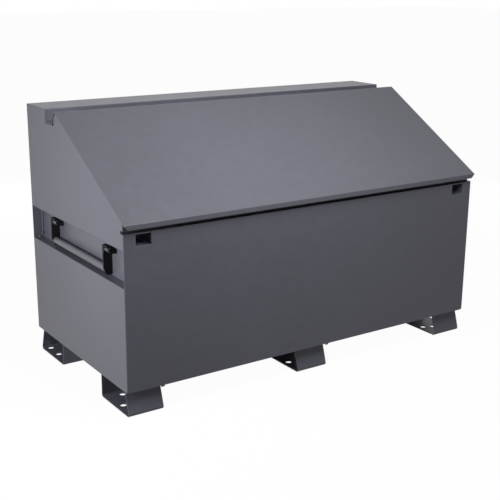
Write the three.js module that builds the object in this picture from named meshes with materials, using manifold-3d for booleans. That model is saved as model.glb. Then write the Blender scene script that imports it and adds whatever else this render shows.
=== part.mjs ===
// Jobsite storage box: a welded sheet steel chest with a sloping hinged lid, on six bent plate feet.
// Millimetres. X runs along the front, Y from front to rear, Z up. The origin is on the floor, in the
// middle of the overall length and depth.

import * as THREE from "three";
import { mergeVertices } from "three/addons/utils/BufferGeometryUtils.js";
import Module from "manifold-3d";

// Overall sizes

const boxLength = 1524;
const boxDepth = 745;
const overallHeight = 947;
const footHeight = 90;
const frontHeight = 624.6;
const stripDepth = 165;
const gutterWidth = 90;
const gutterDepth = 45;
const lidRise = 31.4;
const lidProud = 14;
const lidOverhang = 3.2;

// Sheet metal and fits

const sheet = 2;
const lidSheet = 2.5;
const footPlate = 4;
const bend = 3;
const footBend = 10;
const seat = 0.3;
const overrun = 5;

// Body panels

const panFlange = 25;
const headerDepth = 19;
const headerFlange = 20;
const bumperHeight = 6;
const bumperLength = 60;
const bumperWidth = 14;
const bumperInset = 300;
const rearFlange = 25;
const sideFlange = 20;
const stripHem = 15;
const recessDrop = 54.3;
const recessHeight = 122.6;
const recessDepth = 38;
const frontCorner = 12;

// Lid

const lipHeight = 16.5;
const lipCorner = 9;
const cornerSlot = 10;
const foldRun = 22;
const foldDrop = 24;
const notchClear = 4;
const ribTop = 46;
const ribFoot = 28;
const ribFlange = 16;
const ribDepth = 22;
const ribEnd = 62;
const ribInset = 262;

// Feet

const footLength = 130;
const footInset = 7;
const footBase = 207;
const footEdge = 4.5;
const footLean = 28;
const footFlange = 22;
const boltHole = 11;
const boltSpacing = 76;
const boltInset = 22;
const middleHoleInset = 81;
const innerHoleInset = 178;

// Padlock pockets and the staples that reach into them

const lockInset = 72;
const lockWidth = 57;
const lockHeight = 39;
const lockDrop = 5;
const lockDepth = 80;
const stapleThickness = 5;
const stapleWidth = 28;
const stapleLength = 88;
const stapleInset = 36;
const stapleEye = 6.5;
const slotClear = 4;

// Side handles

const handleSpread = 423;
const pinInset = 14;
const pinBelow = 28.3;
const pinRadius = 7;
const pinHead = 3;
const pinHeadRadius = 9.5;
const armThickness = 6;
const armInset = 5;
const armClear = 1.5;
const armAbove = 15;
const armBelow = 91;
const armChamfer = 12;
const armChamferDrop = 25;
const armCorner = 6;
const armShoulder = 16;
const armShoulderDrop = 17;
const gripRadius = 12.5;
const gripBore = 9.5;
const gripBelow = 71;
const saddleWidth = 32;
const saddlePlate = 4;
const saddleBend = 6;
const saddleBelow = 12;
const saddleClear = 2;
const pinClear = 0.6;

// Hinge

const hingeLength = 1400;
const knuckles = 7;
const barrel = 5;
const hingePinRadius = 3;
const leaf = 2.5;
const lidLeafWidth = 38;
const bodyLeafHeight = 30;
const knuckleGap = 0.6;
const hingeBoreClear = 0.45;

// Gas struts

const strutInset = 32;
const strutRear = 131;
const strutRiseShare = 0.48235;
const strutLidRun = 168;
const strutLidDrop = 41;
const tubeRadius = 9;
const tubeLength = 222;
const rodRadius = 4;
const rodLength = 170;
const rodBore = 4.8;
const boreEnd = 14;
const eyeRadius = 9;
const eyeThickness = 6;
const studRadius = 4;
const studBore = 4.6;
const plateSize = 44;
const plateThickness = 3;
const openPivotGap = 1;

// Facets

const arcSides = 16;
const holeSides = 8;
const bendSteps = 3;

// Planes and lines that several pieces share

const frontY = -(boxDepth - lidProud) / 2;
const rearY = (boxDepth + lidProud) / 2;
const centreY = (frontY + rearY) / 2;
const lipY = frontY - lidProud;
const stripY = rearY - stripDepth;
const ridgeY = stripY - gutterWidth;
const riserY = frontY + headerDepth;
const lidFrontHeight = frontHeight + lidRise;
const recessTop = frontHeight - recessDrop;
const recessBottom = recessTop - recessHeight;
const gutterWallY = ridgeY + foldRun;
const insideFront = frontY + sheet + seat;
const insideRear = rearY - sheet - seat;
const sideX = boxLength / 2;
const insideX = sideX - sheet - seat;
const stripUnder = overallHeight - sheet - seat;
const gutterFloor = overallHeight - gutterDepth;
const notchFloor = gutterFloor - lidSheet - notchClear;
const hingeY = stripY - seat - barrel;
const hingeZ = gutterFloor + seat + barrel;
const slope = Math.atan2(overallHeight - lidFrontHeight, ridgeY - lipY);
const slopeLength = Math.hypot(overallHeight - lidFrontHeight, ridgeY - lipY);

// Height of the line that runs under the lid's sloping face, a given distance below it
function slopeZ(y, below) {
  return overallHeight - (ridgeY - y) * Math.tan(slope) - below / Math.cos(slope);
}

// Finishes

function finish(color, roughness, metalness) {
  return new THREE.MeshStandardMaterial({ color, roughness, metalness });
}

const bodyEnamel = finish("#55555d", 0.45, 0.2);
const lidEnamel = finish("#6d6d76", 0.42, 0.2);
const footEnamel = finish("#47484d", 0.5, 0.2);
const blackEnamel = finish("#141416", 0.5, 0.2);
const greyGrip = finish("#85868c", 0.5, 0.3);
const zincPlate = finish("#b9bbbf", 0.35, 0.9);
const blackRubber = finish("#18181a", 0.85, 0);

// Solids

const wasm = await Module();
wasm.setup();

function solidOf(geometry) {
  const bare = geometry.clone();
  bare.deleteAttribute("normal");
  bare.deleteAttribute("uv");
  const merged = mergeVertices(bare);
  const vertProperties = new Float32Array(merged.attributes.position.array);
  const triVerts = new Uint32Array(merged.index.array);
  return new wasm.Manifold(new wasm.Mesh({ numProp: 3, vertProperties, triVerts }));
}

function geometryOf(solid) {
  const mesh = solid.getMesh();
  const geometry = new THREE.BufferGeometry();
  geometry.setAttribute("position", new THREE.BufferAttribute(new Float32Array(mesh.vertProperties), 3));
  geometry.setIndex(new THREE.BufferAttribute(new Uint32Array(mesh.triVerts), 1));
  geometry.computeVertexNormals();
  return geometry;
}

function join(...geometries) {
  return geometryOf(geometries.map(solidOf).reduce((whole, next) => whole.add(next)));
}

function cut(geometry, ...cutters) {
  return geometryOf(cutters.map(solidOf).reduce((whole, next) => whole.subtract(next), solidOf(geometry)));
}

function common(geometry, other) {
  return geometryOf(solidOf(geometry).intersect(solidOf(other)));
}

// Outlines

function outline(points) {
  return new THREE.Shape(points.map(([a, b]) => new THREE.Vector2(a, b)));
}

function rectangle(a0, a1, b0, b1) {
  return outline([[a0, b0], [a1, b0], [a1, b1], [a0, b1]]);
}

function circle(a, b, radius, sides) {
  const points = [];
  for (let k = 0; k < sides; k += 1) {
    const angle = (2 * Math.PI * (k + 1 / 2)) / sides;
    points.push([a + radius * Math.cos(angle), b + radius * Math.sin(angle)]);
  }
  return outline(points);
}

// The outline of a sheet bent along a line of points. The points lie on one face of the sheet, and its
// thickness goes to the left of the line (side 1) or to the right (side -1). Each bend is an arc.
function bentSheet(points, gauge, radius, side) {
  const near = [];
  const far = [];
  const place = (x, y, normal) => {
    near.push([x, y]);
    far.push([x + side * gauge * normal[0], y + side * gauge * normal[1]]);
  };
  const heading = (from, to) => Math.atan2(to[1] - from[1], to[0] - from[0]);
  const leftOf = (angle) => [-Math.sin(angle), Math.cos(angle)];
  const last = points.length - 1;
  place(...points[0], leftOf(heading(points[0], points[1])));
  for (let k = 1; k < last; k += 1) {
    const before = heading(points[k - 1], points[k]);
    const turn = Math.atan2(
      Math.sin(heading(points[k], points[k + 1]) - before),
      Math.cos(heading(points[k], points[k + 1]) - before),
    );
    const way = Math.sign(turn);
    const faceRadius = way === side ? radius : radius + gauge;
    const reach = faceRadius * Math.tan(Math.abs(turn) / 2);
    const start = [points[k][0] - reach * Math.cos(before), points[k][1] - reach * Math.sin(before)];
    const centre = start.map((value, axis) => value + way * faceRadius * leftOf(before)[axis]);
    for (let step = 0; step <= bendSteps; step += 1) {
      const normal = leftOf(before + (turn * step) / bendSteps);
      place(centre[0] - way * faceRadius * normal[0], centre[1] - way * faceRadius * normal[1], normal);
    }
  }
  place(...points[last], leftOf(heading(points[last - 1], points[last])));
  return outline([...near, ...far.reverse()]);
}

// Extrusions: an outline in (Y, Z) along X, in (X, Z) along Y, or in (X, Y) along Z

const xWay = new THREE.Vector3(1, 0, 0);
const yWay = new THREE.Vector3(0, 1, 0);
const zWay = new THREE.Vector3(0, 0, 1);
const turnAlongX = new THREE.Matrix4().makeBasis(yWay, zWay, xWay);
const turnAlongY = new THREE.Matrix4().makeBasis(xWay, zWay, yWay.clone().negate());

function extruded(shape, depth) {
  return new THREE.ExtrudeGeometry(shape, { depth, steps: 1, bevelEnabled: false });
}

function alongX(shape, from, to) {
  return extruded(shape, to - from).applyMatrix4(turnAlongX).translate(from, 0, 0);
}

function alongY(shape, from, to) {
  return extruded(shape, to - from).applyMatrix4(turnAlongY).translate(0, to, 0);
}

function alongZ(shape, from, to) {
  return extruded(shape, to - from).translate(0, 0, from);
}

// Extrudes along X between two distances from the middle, on the side of the given sign
function alongSide(shape, sign, inner, outer) {
  return sign > 0 ? alongX(shape, inner, outer) : alongX(shape, -outer, -inner);
}

function turned(points) {
  return new THREE.LatheGeometry(points.map(([radius, along]) => new THREE.Vector2(radius, along)), arcSides);
}

function piece(name, geometry, material) {
  const mesh = new THREE.Mesh(geometry, material);
  mesh.name = name;
  return mesh;
}

const box = new THREE.Group();
box.name = "jobsite_storage_box";

const ends = [
  { side: "left", sign: -1 },
  { side: "right", sign: 1 },
];

// Floor pan: a tray with upturned front and rear edges

function floorPan() {
  const top = footHeight + panFlange;
  const path = [[insideFront, top], [insideFront, footHeight], [insideRear, footHeight], [insideRear, top]];
  return alongX(bentSheet(path, sheet, bend, 1), -insideX, insideX);
}

box.add(piece("floor_pan", floorPan(), bodyEnamel));

// Staple line: where the staples stand on the lid, and how they slant down into the pockets

const lockX = sideX - lockInset;
const stapleTopY = lipY + stapleInset * Math.cos(slope);
const stapleTopZ = slopeZ(stapleTopY, lidSheet);
const stapleHalf = stapleWidth / 2 / Math.cos(slope);
const slotHalf = stapleThickness / 2 + slotClear;

// Where the staple's front edge is at a given height
function stapleFrontY(z) {
  return stapleTopY + (stapleTopZ - z) * Math.tan(slope) - stapleHalf;
}

// The height at which the staple's front edge crosses the back of the header
const stapleCrossing = stapleTopZ - (riserY + sheet + stapleHalf - stapleTopY) / Math.tan(slope);

// Front panel: face, ledge under the lid's lip, riser behind it and a flange along the lid's slope

const lockTop = frontHeight - lockDrop;
const lockBottom = lockTop - lockHeight;

function frontPanel() {
  const riserTop = slopeZ(riserY, lidSheet + bumperHeight);
  const flangeY = riserY + headerFlange * Math.cos(slope);
  const path = [
    [frontY, footHeight],
    [frontY, frontHeight],
    [riserY, frontHeight],
    [riserY, riserTop],
    [flangeY, slopeZ(flangeY, lidSheet + bumperHeight)],
  ];
  const bent = alongX(bentSheet(path, sheet, bend, -1), -sideX, sideX);
  const behind = rectangle(frontY + sheet, flangeY + overrun, footHeight - overrun, overallHeight);
  const trims = ends.map(({ sign }) => alongSide(behind, sign, insideX, sideX + overrun));
  const openings = ends.map(({ sign }) => {
    const middle = sign * lockX;
    const shape = rectangle(middle - lockWidth / 2, middle + lockWidth / 2, lockBottom, lockTop);
    return alongY(shape, frontY - overrun, frontY + sheet + overrun);
  });
  const notches = ends.map(({ sign }) => {
    const shape = rectangle(riserY - overrun, flangeY + overrun, stapleCrossing - slotClear, overallHeight);
    return alongSide(shape, sign, lockX - slotHalf, lockX + slotHalf);
  });
  return common(cut(bent, ...trims, ...openings, ...notches), roundedFace());
}

// A block with the front panel's outline, whose lower corners are rounded
function roundedFace() {
  const shape = new THREE.Shape();
  shape.moveTo(-sideX, overallHeight);
  shape.lineTo(-sideX, footHeight + frontCorner);
  shape.absarc(-sideX + frontCorner, footHeight + frontCorner, frontCorner, Math.PI, 1.5 * Math.PI, false);
  shape.absarc(sideX - frontCorner, footHeight + frontCorner, frontCorner, 1.5 * Math.PI, 2 * Math.PI, false);
  shape.lineTo(sideX, overallHeight);
  const block = new THREE.ExtrudeGeometry(shape, {
    depth: rearY - lipY,
    steps: 1,
    bevelEnabled: false,
    curveSegments: bendSteps,
  });
  return block.applyMatrix4(turnAlongY).translate(0, rearY, 0);
}

box.add(piece("front_panel", frontPanel(), bodyEnamel));

// Rear panel: flat, with a flange under the top strip

function rearPanel() {
  const path = [[rearY, footHeight], [rearY, stripUnder], [rearY - rearFlange, stripUnder]];
  const bent = alongX(bentSheet(path, sheet, bend, 1), -sideX, sideX);
  const ahead = rectangle(rearY - rearFlange - overrun, rearY - sheet, footHeight - overrun, overallHeight);
  return cut(bent, ...ends.map(({ sign }) => alongSide(ahead, sign, insideX, sideX + overrun)));
}

box.add(piece("rear_panel", rearPanel(), bodyEnamel));

// Top strip: the fixed part of the top, with the hinge's flange along its front

function topStrip() {
  const bottom = notchFloor + seat;
  const path = [
    [stripY + stripHem, bottom],
    [stripY, bottom],
    [stripY, overallHeight],
    [rearY, overallHeight],
  ];
  const bent = alongX(bentSheet(path, sheet, bend, -1), -sideX, sideX);
  const under = overallHeight - sheet;
  const behind = rectangle(stripY + sheet, stripY + stripHem + overrun, bottom - overrun, under);
  return cut(bent, ...ends.map(({ sign }) => alongSide(behind, sign, insideX, sideX + overrun)));
}

box.add(piece("top_strip", topStrip(), bodyEnamel));

// Sides: a plain lower panel, a channel that makes the handle recess, and an upper panel cut to the lid

function lowerSide(sign) {
  const shape = rectangle(insideFront, insideRear, footHeight, recessBottom - sheet - seat);
  return alongSide(shape, sign, sideX - sheet, sideX);
}

function handleChannel(sign) {
  const back = sideX - recessDepth;
  const path = [[sideX, recessBottom], [back, recessBottom], [back, recessTop], [sideX, recessTop]];
  const mirrored = path.map(([x, z]) => [sign * x, z]);
  return alongY(bentSheet(mirrored, sheet, bend, sign), insideFront, insideRear);
}

function upperSide(sign) {
  const bottom = recessTop + sheet + seat;
  const under = lidSheet + seat;
  const notchY = gutterWallY - lidSheet - notchClear;
  const backY = stripY + sheet + seat;
  const peakY = ridgeY - notchClear;
  const plate = outline([
    [insideFront, bottom],
    [insideRear, bottom],
    [insideRear, stripUnder],
    [backY, stripUnder],
    [backY, notchFloor],
    [notchY, notchFloor],
    [notchY, overallHeight - foldDrop],
    [peakY, slopeZ(peakY, under)],
    [insideFront, slopeZ(insideFront, under)],
    [insideFront, frontHeight + cornerSlot],
    [riserY, frontHeight + cornerSlot],
    [riserY, frontHeight],
    [insideFront, frontHeight],
  ]);
  const slopeFlange = outline([
    [riserY, slopeZ(riserY, under)],
    [peakY, slopeZ(peakY, under)],
    [peakY, slopeZ(peakY, under + sheet)],
    [riserY, slopeZ(riserY, under + sheet)],
  ]);
  const stripFlange = rectangle(backY + bend, rearY - rearFlange - seat, stripUnder - sheet, stripUnder);
  return join(
    alongSide(plate, sign, sideX - sheet, sideX),
    alongSide(slopeFlange, sign, sideX - sideFlange, sideX),
    alongSide(stripFlange, sign, sideX - sideFlange, sideX),
  );
}

for (const { side, sign } of ends) {
  box.add(piece(`${side}_lower_side`, lowerSide(sign), bodyEnamel));
  box.add(piece(`${side}_handle_channel`, handleChannel(sign), bodyEnamel));
  box.add(piece(`${side}_upper_side`, upperSide(sign), bodyEnamel));
}

// Padlock pockets: open at the front, with a slot in the top for the staple

function lockPocket(sign) {
  const middle = sign * lockX;
  const block = (grow, from, to) => {
    const half = lockWidth / 2 + grow;
    return alongY(rectangle(middle - half, middle + half, lockBottom - grow, lockTop + grow), from, to);
  };
  const back = insideFront + lockDepth;
  const slotFront = stapleFrontY(lockTop) - slotClear;
  const slot = alongZ(
    rectangle(middle - slotHalf, middle + slotHalf, slotFront, back - sheet),
    lockTop - overrun,
    lockTop + sheet + overrun,
  );
  return cut(block(sheet, insideFront, back), block(0, insideFront - overrun, back - sheet), slot);
}

for (const { side, sign } of ends) {
  box.add(piece(`${side}_lock_pocket`, lockPocket(sign), bodyEnamel));
}

// Feet: plate bent to a channel that is open at both ends, with its outer wall leaning in towards the top

function foot() {
  const top = footHeight - seat;
  const outer = -(boxDepth / 2 - footEdge);
  const inner = outer + footBase;
  const path = [
    [inner - footFlange, top],
    [inner, top],
    [inner, 0],
    [outer, 0],
    [outer + footLean, top],
    [outer + footLean + footFlange, top],
  ];
  const channel = alongX(bentSheet(path, footPlate, footBend, -1), -footLength / 2, footLength / 2);
  const near = outer + boltInset;
  const centres = [
    [-boltSpacing / 2, near],
    [boltSpacing / 2, near],
    [-boltSpacing / 2, near + boltSpacing],
    [boltSpacing / 2, near + boltSpacing],
    [0, outer + middleHoleInset],
    [0, outer + innerHoleInset],
  ];
  const drills = centres.map(([x, y]) => {
    return alongZ(circle(x, y, boltHole, holeSides), -overrun, footPlate + overrun);
  });
  return cut(channel, ...drills);
}

const footX = sideX - footInset - footLength / 2;
const footPlaces = [
  { place: "left", x: -footX },
  { place: "centre", x: 0 },
  { place: "right", x: footX },
];

for (const { place, x } of footPlaces) {
  for (const row of ["front", "rear"]) {
    const mesh = piece(`${row}_${place}_foot`, foot(), footEnamel);
    mesh.position.set(x, centreY, 0);
    mesh.rotation.z = row === "rear" ? Math.PI : 0;
    box.add(mesh);
  }
}

// Side handles: two saddles welded in the recess hold a pin each, and a bail of two arms and a grip
// swings on the pins

const pinX = sideX - pinInset;
const pinZ = recessTop - pinBelow;
const armOut = pinInset - armInset;
const armIn = recessDepth - pinInset - armClear;
const armPlaces = [
  { place: "front", y: centreY - handleSpread / 2 },
  { place: "rear", y: centreY + handleSpread / 2 },
];

// Outlines in a plane across the pin: outwards from the pin, and up
function acrossPin(sign, points) {
  return outline(points.map(([out, up]) => [sign * (pinX + out), pinZ + up]));
}

function pinHole(sign, radius, from, to) {
  return alongY(circle(sign * pinX, pinZ, radius, arcSides), from, to);
}

function handleSaddle(sign, armY) {
  const near = armY - armThickness / 2 - saddleClear;
  const far = near - saddleWidth;
  const path = [
    [far, pinZ - saddleBelow],
    [far, pinZ + armAbove],
    [near, pinZ + armAbove],
    [near, pinZ - saddleBelow],
  ];
  const strap = bentSheet(path, saddlePlate, saddleBend, -1);
  const wall = sideX - recessDepth + seat;
  return cut(
    alongSide(strap, sign, wall, pinX + armOut),
    pinHole(sign, pinRadius + pinClear, far - overrun, near + overrun),
  );
}

function handlePin(sign, armY) {
  const head = armY + armThickness / 2 + seat;
  const tip = armY - armThickness / 2 - saddleClear - saddleWidth;
  return join(
    pinHole(sign, pinRadius, tip, head + pinHead / 2),
    pinHole(sign, pinHeadRadius, head, head + pinHead),
  );
}

function handleArm(sign, armY) {
  const shape = acrossPin(sign, [
    [armOut, armAbove],
    [armShoulder - armIn, armAbove],
    [-armIn, armAbove - armShoulderDrop],
    [-armIn, armCorner - armBelow],
    [armCorner - armIn, -armBelow],
    [armOut - armChamfer, -armBelow],
    [armOut, armChamferDrop - armBelow],
  ]);
  const from = armY - armThickness / 2;
  const to = armY + armThickness / 2;
  return cut(
    alongY(shape, from, to),
    pinHole(sign, pinRadius + pinClear, from - overrun, to + overrun),
  );
}

function handleGrip(sign) {
  const reach = handleSpread / 2 - armThickness / 2 - seat;
  const x = sign * (pinX + (armOut - armIn) / 2);
  const z = pinZ - gripBelow;
  const tube = circle(x, z, gripRadius, arcSides);
  tube.holes.push(circle(x, z, gripBore, arcSides));
  return alongY(tube, centreY - reach, centreY + reach);
}

for (const { side, sign } of ends) {
  for (const { place, y } of armPlaces) {
    box.add(piece(`${side}_${place}_saddle`, handleSaddle(sign, y), blackEnamel));
    box.add(piece(`${side}_${place}_handle_pin`, handlePin(sign, y), zincPlate));
    box.add(piece(`${side}_${place}_handle_arm`, handleArm(sign, y), blackEnamel));
  }
  box.add(piece(`${side}_grip`, handleGrip(sign), greyGrip));
}

// Lid hinge: long knuckles in turn on the body's leaf and on the lid's leaf, round one pin

function hingeLeaf(plate, ownsEven) {
  const knuckle = hingeLength / knuckles;
  const start = -hingeLength / 2;
  const ring = alongX(circle(hingeY, hingeZ, barrel, arcSides), start, -start);
  const bore = circle(hingeY, hingeZ, hingePinRadius + hingeBoreClear, arcSides);
  const room = barrel + knuckleGap;
  const clearance = rectangle(hingeY - room, hingeY + room, hingeZ - room, hingeZ + room);
  const cutters = [alongX(bore, start - overrun, overrun - start)];
  for (let k = 0; k < knuckles; k += 1) {
    const own = (k % 2 === 0) === ownsEven;
    if (!own) {
      const from = start + k * knuckle - (k > 0 ? knuckleGap / 2 : overrun);
      const to = start + (k + 1) * knuckle + (k < knuckles - 1 ? knuckleGap / 2 : overrun);
      cutters.push(alongX(clearance, from, to));
    }
  }
  return cut(join(alongX(plate, start, -start), ring), ...cutters);
}

const bodyLeafPlate = rectangle(hingeY + barrel - leaf, hingeY + barrel, hingeZ, hingeZ + bodyLeafHeight);
const lidLeafPlate = rectangle(hingeY - lidLeafWidth, hingeY, hingeZ - barrel, hingeZ - barrel + leaf);
box.add(piece("hinge_body_leaf", hingeLeaf(bodyLeafPlate, true), bodyEnamel));
box.add(piece("hinge_lid_leaf", hingeLeaf(lidLeafPlate, false), lidEnamel));

const hingePin = alongX(
  circle(hingeY, hingeZ, hingePinRadius, arcSides),
  -hingeLength / 2 - seat,
  hingeLength / 2 + seat,
);
box.add(piece("hinge_pin", hingePin, zincPlate));

// Lid: lip, slope, ridge, and behind it the floor of the rain gutter that the hinge lies in

// Cuts the lower corner off one end of the lip
function lipClip(sign, end, bottom) {
  const corner = outline([
    [sign * (end - lipCorner - overrun), bottom - overrun],
    [sign * (end + overrun), bottom - overrun],
    [sign * (end + overrun), bottom + lipCorner + overrun],
  ]);
  return alongY(corner, lipY - overrun, lipY + lidSheet + overrun);
}

function lidPanel() {
  const path = [
    [lipY, lidFrontHeight - lipHeight],
    [lipY, lidFrontHeight],
    [ridgeY, overallHeight],
    [gutterWallY, overallHeight - foldDrop],
    [gutterWallY, gutterFloor],
    [hingeY, gutterFloor],
  ];
  const end = sideX + lidOverhang;
  const clips = ends.map(({ sign }) => lipClip(sign, end, lidFrontHeight - lipHeight));
  return cut(alongX(bentSheet(path, lidSheet, bend, -1), -end, end), ...clips);
}

box.add(piece("lid_panel", lidPanel(), lidEnamel));

// What follows the lid's slope is placed in a frame at the ridge: Y up the slope, Z out of the lid

const lidFrame = new THREE.Group();
lidFrame.position.set(0, ridgeY, overallHeight);
lidFrame.rotation.x = slope;
box.add(lidFrame);
const underLid = -lidSheet - seat;

function lidRib() {
  const path = [
    [-ribTop / 2 - ribFlange, underLid],
    [-ribTop / 2, underLid],
    [-ribFoot / 2, underLid - ribDepth],
    [ribFoot / 2, underLid - ribDepth],
    [ribTop / 2, underLid],
    [ribTop / 2 + ribFlange, underLid],
  ];
  return alongY(bentSheet(path, sheet, bend, -1), ribEnd - slopeLength, -ribEnd);
}

const ribX = sideX - ribInset;
const ribPlaces = [
  { place: "left", x: -ribX },
  { place: "centre", x: 0 },
  { place: "right", x: ribX },
];

for (const { place, x } of ribPlaces) {
  const mesh = piece(`${place}_lid_rib`, lidRib(), lidEnamel);
  mesh.position.x = x;
  lidFrame.add(mesh);
}

function staple(sign) {
  const middle = stapleInset - slopeLength;
  const end = -lidSheet - stapleLength;
  const round = stapleWidth / 2;
  const shape = new THREE.Shape();
  shape.moveTo(middle + round, underLid);
  shape.lineTo(middle - round, underLid);
  shape.lineTo(middle - round, end + round);
  shape.absarc(middle, end + round, round, Math.PI, 2 * Math.PI, false);
  const tab = new THREE.ExtrudeGeometry(shape, {
    depth: stapleThickness,
    steps: 1,
    bevelEnabled: false,
    curveSegments: holeSides,
  });
  const edge = sign * lockX - stapleThickness / 2;
  const eye = circle(middle, end + round, stapleEye, arcSides);
  return cut(
    tab.applyMatrix4(turnAlongX).translate(edge, 0, 0),
    alongX(eye, edge - overrun, edge + stapleThickness + overrun),
  );
}

for (const { side, sign } of ends) {
  lidFrame.add(piece(`${side}_staple`, staple(sign), zincPlate));
}

// Rubber bumpers on the header's flange, under the lid

function bumper(sign) {
  const middle = (riserY + (headerFlange * Math.cos(slope)) / 2 - ridgeY) / Math.cos(slope);
  const shape = rectangle(
    middle - bumperWidth / 2,
    middle + bumperWidth / 2,
    -lidSheet - bumperHeight + seat,
    underLid,
  );
  const x = sideX - bumperInset;
  return alongSide(shape, sign, x - bumperLength / 2, x + bumperLength / 2);
}

for (const { side, sign } of ends) {
  lidFrame.add(piece(`${side}_bumper`, bumper(sign), blackRubber));
}

// Gas struts: a tube on a stud on the side panel, and a rod that reaches the lid's bracket

const strutX = sideX - strutInset;
const strutBase = new THREE.Vector2(
  rearY - strutRear,
  recessTop + strutRiseShare * (overallHeight - recessTop),
);
const strutTip = new THREE.Vector2(
  ridgeY - strutLidRun * Math.cos(slope) + strutLidDrop * Math.sin(slope),
  overallHeight - strutLidRun * Math.sin(slope) - strutLidDrop * Math.cos(slope),
);
const strutLine = strutTip.clone().sub(strutBase);
const strutLength = strutLine.length();

// An eye round a stud, in the plane across X, at a distance along the strut
function strutEye(along) {
  const ring = circle(along, 0, eyeRadius, arcSides);
  ring.holes.push(circle(along, 0, studBore, arcSides));
  return alongX(ring, -eyeThickness / 2, eyeThickness / 2);
}

function strutTube() {
  const bottom = eyeRadius - seat;
  const barrelShape = turned([
    [0, bottom],
    [tubeRadius, bottom],
    [tubeRadius, tubeLength],
    [rodBore, tubeLength],
    [rodBore, bottom + boreEnd],
    [0, bottom + boreEnd],
  ]);
  return join(barrelShape, strutNeck(0, bottom + boreEnd / 2));
}

// The eye with the shank that joins it to the round body of the strut
function strutNeck(eyeAlong, shankEnd) {
  const from = Math.min(eyeAlong, shankEnd);
  const to = Math.max(eyeAlong, shankEnd);
  const shank = alongX(rectangle(from, to, -studRadius, studRadius), -eyeThickness / 2, eyeThickness / 2);
  const hole = alongX(circle(eyeAlong, 0, studBore, arcSides), -eyeThickness, eyeThickness);
  return cut(join(strutEye(eyeAlong), shank), hole);
}

function strutRod() {
  const tip = strutLength - eyeRadius;
  const body = turned([
    [0, strutLength - rodLength],
    [rodRadius, strutLength - rodLength],
    [rodRadius, tip],
    [0, tip],
  ]);
  return join(body, strutNeck(strutLength, tip - eyeThickness));
}

// Body bracket: a plate on the side panel's inner face with a stud through the tube's eye
function strutBodyBracket(sign) {
  const half = plateSize / 2;
  const plate = rectangle(strutBase.x - half, strutBase.x + half, strutBase.y - half, strutBase.y + half);
  const stud = circle(strutBase.x, strutBase.y, studRadius, arcSides);
  const wall = insideX;
  return join(
    alongSide(plate, sign, wall - plateThickness, wall),
    alongSide(stud, sign, strutX - eyeThickness, wall - plateThickness / 2),
  );
}

// Lid bracket: a foot under the lid, a plate beside the rod's eye and a short stud towards it. The stud
// stops short of the eye, because the eye strays from it a little while the lid is half open.
function strutLidBracket(sign) {
  const half = plateSize / 2;
  const face = strutX - eyeThickness / 2 - openPivotGap - plateThickness;
  const web = outline([
    [-strutLidRun - half, underLid],
    [-strutLidRun - eyeRadius, -strutLidDrop - eyeRadius],
    [-strutLidRun + eyeRadius, -strutLidDrop - eyeRadius],
    [-strutLidRun + half, underLid],
  ]);
  const base = rectangle(-strutLidRun - half, -strutLidRun + half, underLid - plateThickness, underLid);
  const stud = circle(-strutLidRun, -strutLidDrop, studRadius, arcSides);
  return join(
    alongSide(web, sign, face - plateThickness, face),
    alongSide(base, sign, face - half, face),
    alongSide(stud, sign, face - plateThickness / 2, face + plateThickness),
  );
}

for (const { side, sign } of ends) {
  const strut = new THREE.Group();
  strut.position.set(sign * strutX, strutBase.x, strutBase.y);
  strut.rotation.x = strutLine.angle();
  strut.add(piece(`${side}_strut_tube`, strutTube(), blackEnamel));
  strut.add(piece(`${side}_strut_rod`, strutRod(), zincPlate));
  box.add(strut);
  box.add(piece(`${side}_strut_body_bracket`, strutBodyBracket(sign), zincPlate));
  lidFrame.add(piece(`${side}_strut_lid_bracket`, strutLidBracket(sign), zincPlate));
}

export default box;
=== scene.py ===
"""The looks of a jobsite storage box: enamelled sheet steel, plate feet, zinc hardware and a plain studio.

Sizes are in millimetres. Meshes are made in metres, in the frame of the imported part.
"""

import logging
import math
from collections.abc import Iterable, Sequence
from dataclasses import dataclass
from enum import Enum
from typing import ClassVar

import bmesh
import bpy
from mathutils import Matrix, Vector


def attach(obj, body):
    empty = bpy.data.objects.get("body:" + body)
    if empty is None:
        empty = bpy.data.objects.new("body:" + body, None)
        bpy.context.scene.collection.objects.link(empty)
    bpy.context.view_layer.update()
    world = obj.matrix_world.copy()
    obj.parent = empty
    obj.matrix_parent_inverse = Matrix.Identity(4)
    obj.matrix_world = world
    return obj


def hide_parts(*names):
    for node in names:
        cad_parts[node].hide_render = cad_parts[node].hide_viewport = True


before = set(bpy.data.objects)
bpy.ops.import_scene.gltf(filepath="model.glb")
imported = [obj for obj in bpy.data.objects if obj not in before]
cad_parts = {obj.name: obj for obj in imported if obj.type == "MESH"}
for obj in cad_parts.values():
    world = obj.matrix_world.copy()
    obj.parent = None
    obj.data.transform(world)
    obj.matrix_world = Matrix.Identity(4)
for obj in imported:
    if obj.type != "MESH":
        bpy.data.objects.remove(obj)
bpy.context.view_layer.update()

log = logging.getLogger("storage_box")

MM = 0.001
FOLD_STEPS = 9
ROUND_SIDES = 48
DRILL_SIDES = 40
OVERRUN = 5.0
BORE_DEPTH = 2000.0
MERGE_DISTANCE = 0.004
FLAT_ANGLE = 0.5
SHARP_ANGLE = 32.0
FOLD_ANGLE = 34.0
KNIFE_ANGLE = 100.0
RIPPLE_PITCH = 1.9
RIPPLE_RISE = 0.8
RIPPLE_SPREAD = (0.86, 1.1)
WHITE = (1.0, 1.0, 1.0, 1.0)
SIDES = {"left": -1, "right": 1}
FEET = {"left": -690.0, "centre": 0.0, "right": 690.0}

Pair = tuple[float, float]
Point = tuple[float, float]
Place = Sequence[float]
Layers = tuple[bpy.types.NodeSocket, bpy.types.NodeSocket, list[tuple[bpy.types.NodeSocket, float]]]


class Slot(Enum):
    """The record's material slots."""

    BODY = "body_enamel"
    LID = "lid_enamel"
    FOOT = "foot_enamel"
    BLACK = "black_enamel"
    GRIP = "grey_grip"
    ZINC = "zinc_plate"
    RUBBER = "black_rubber"


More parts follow.
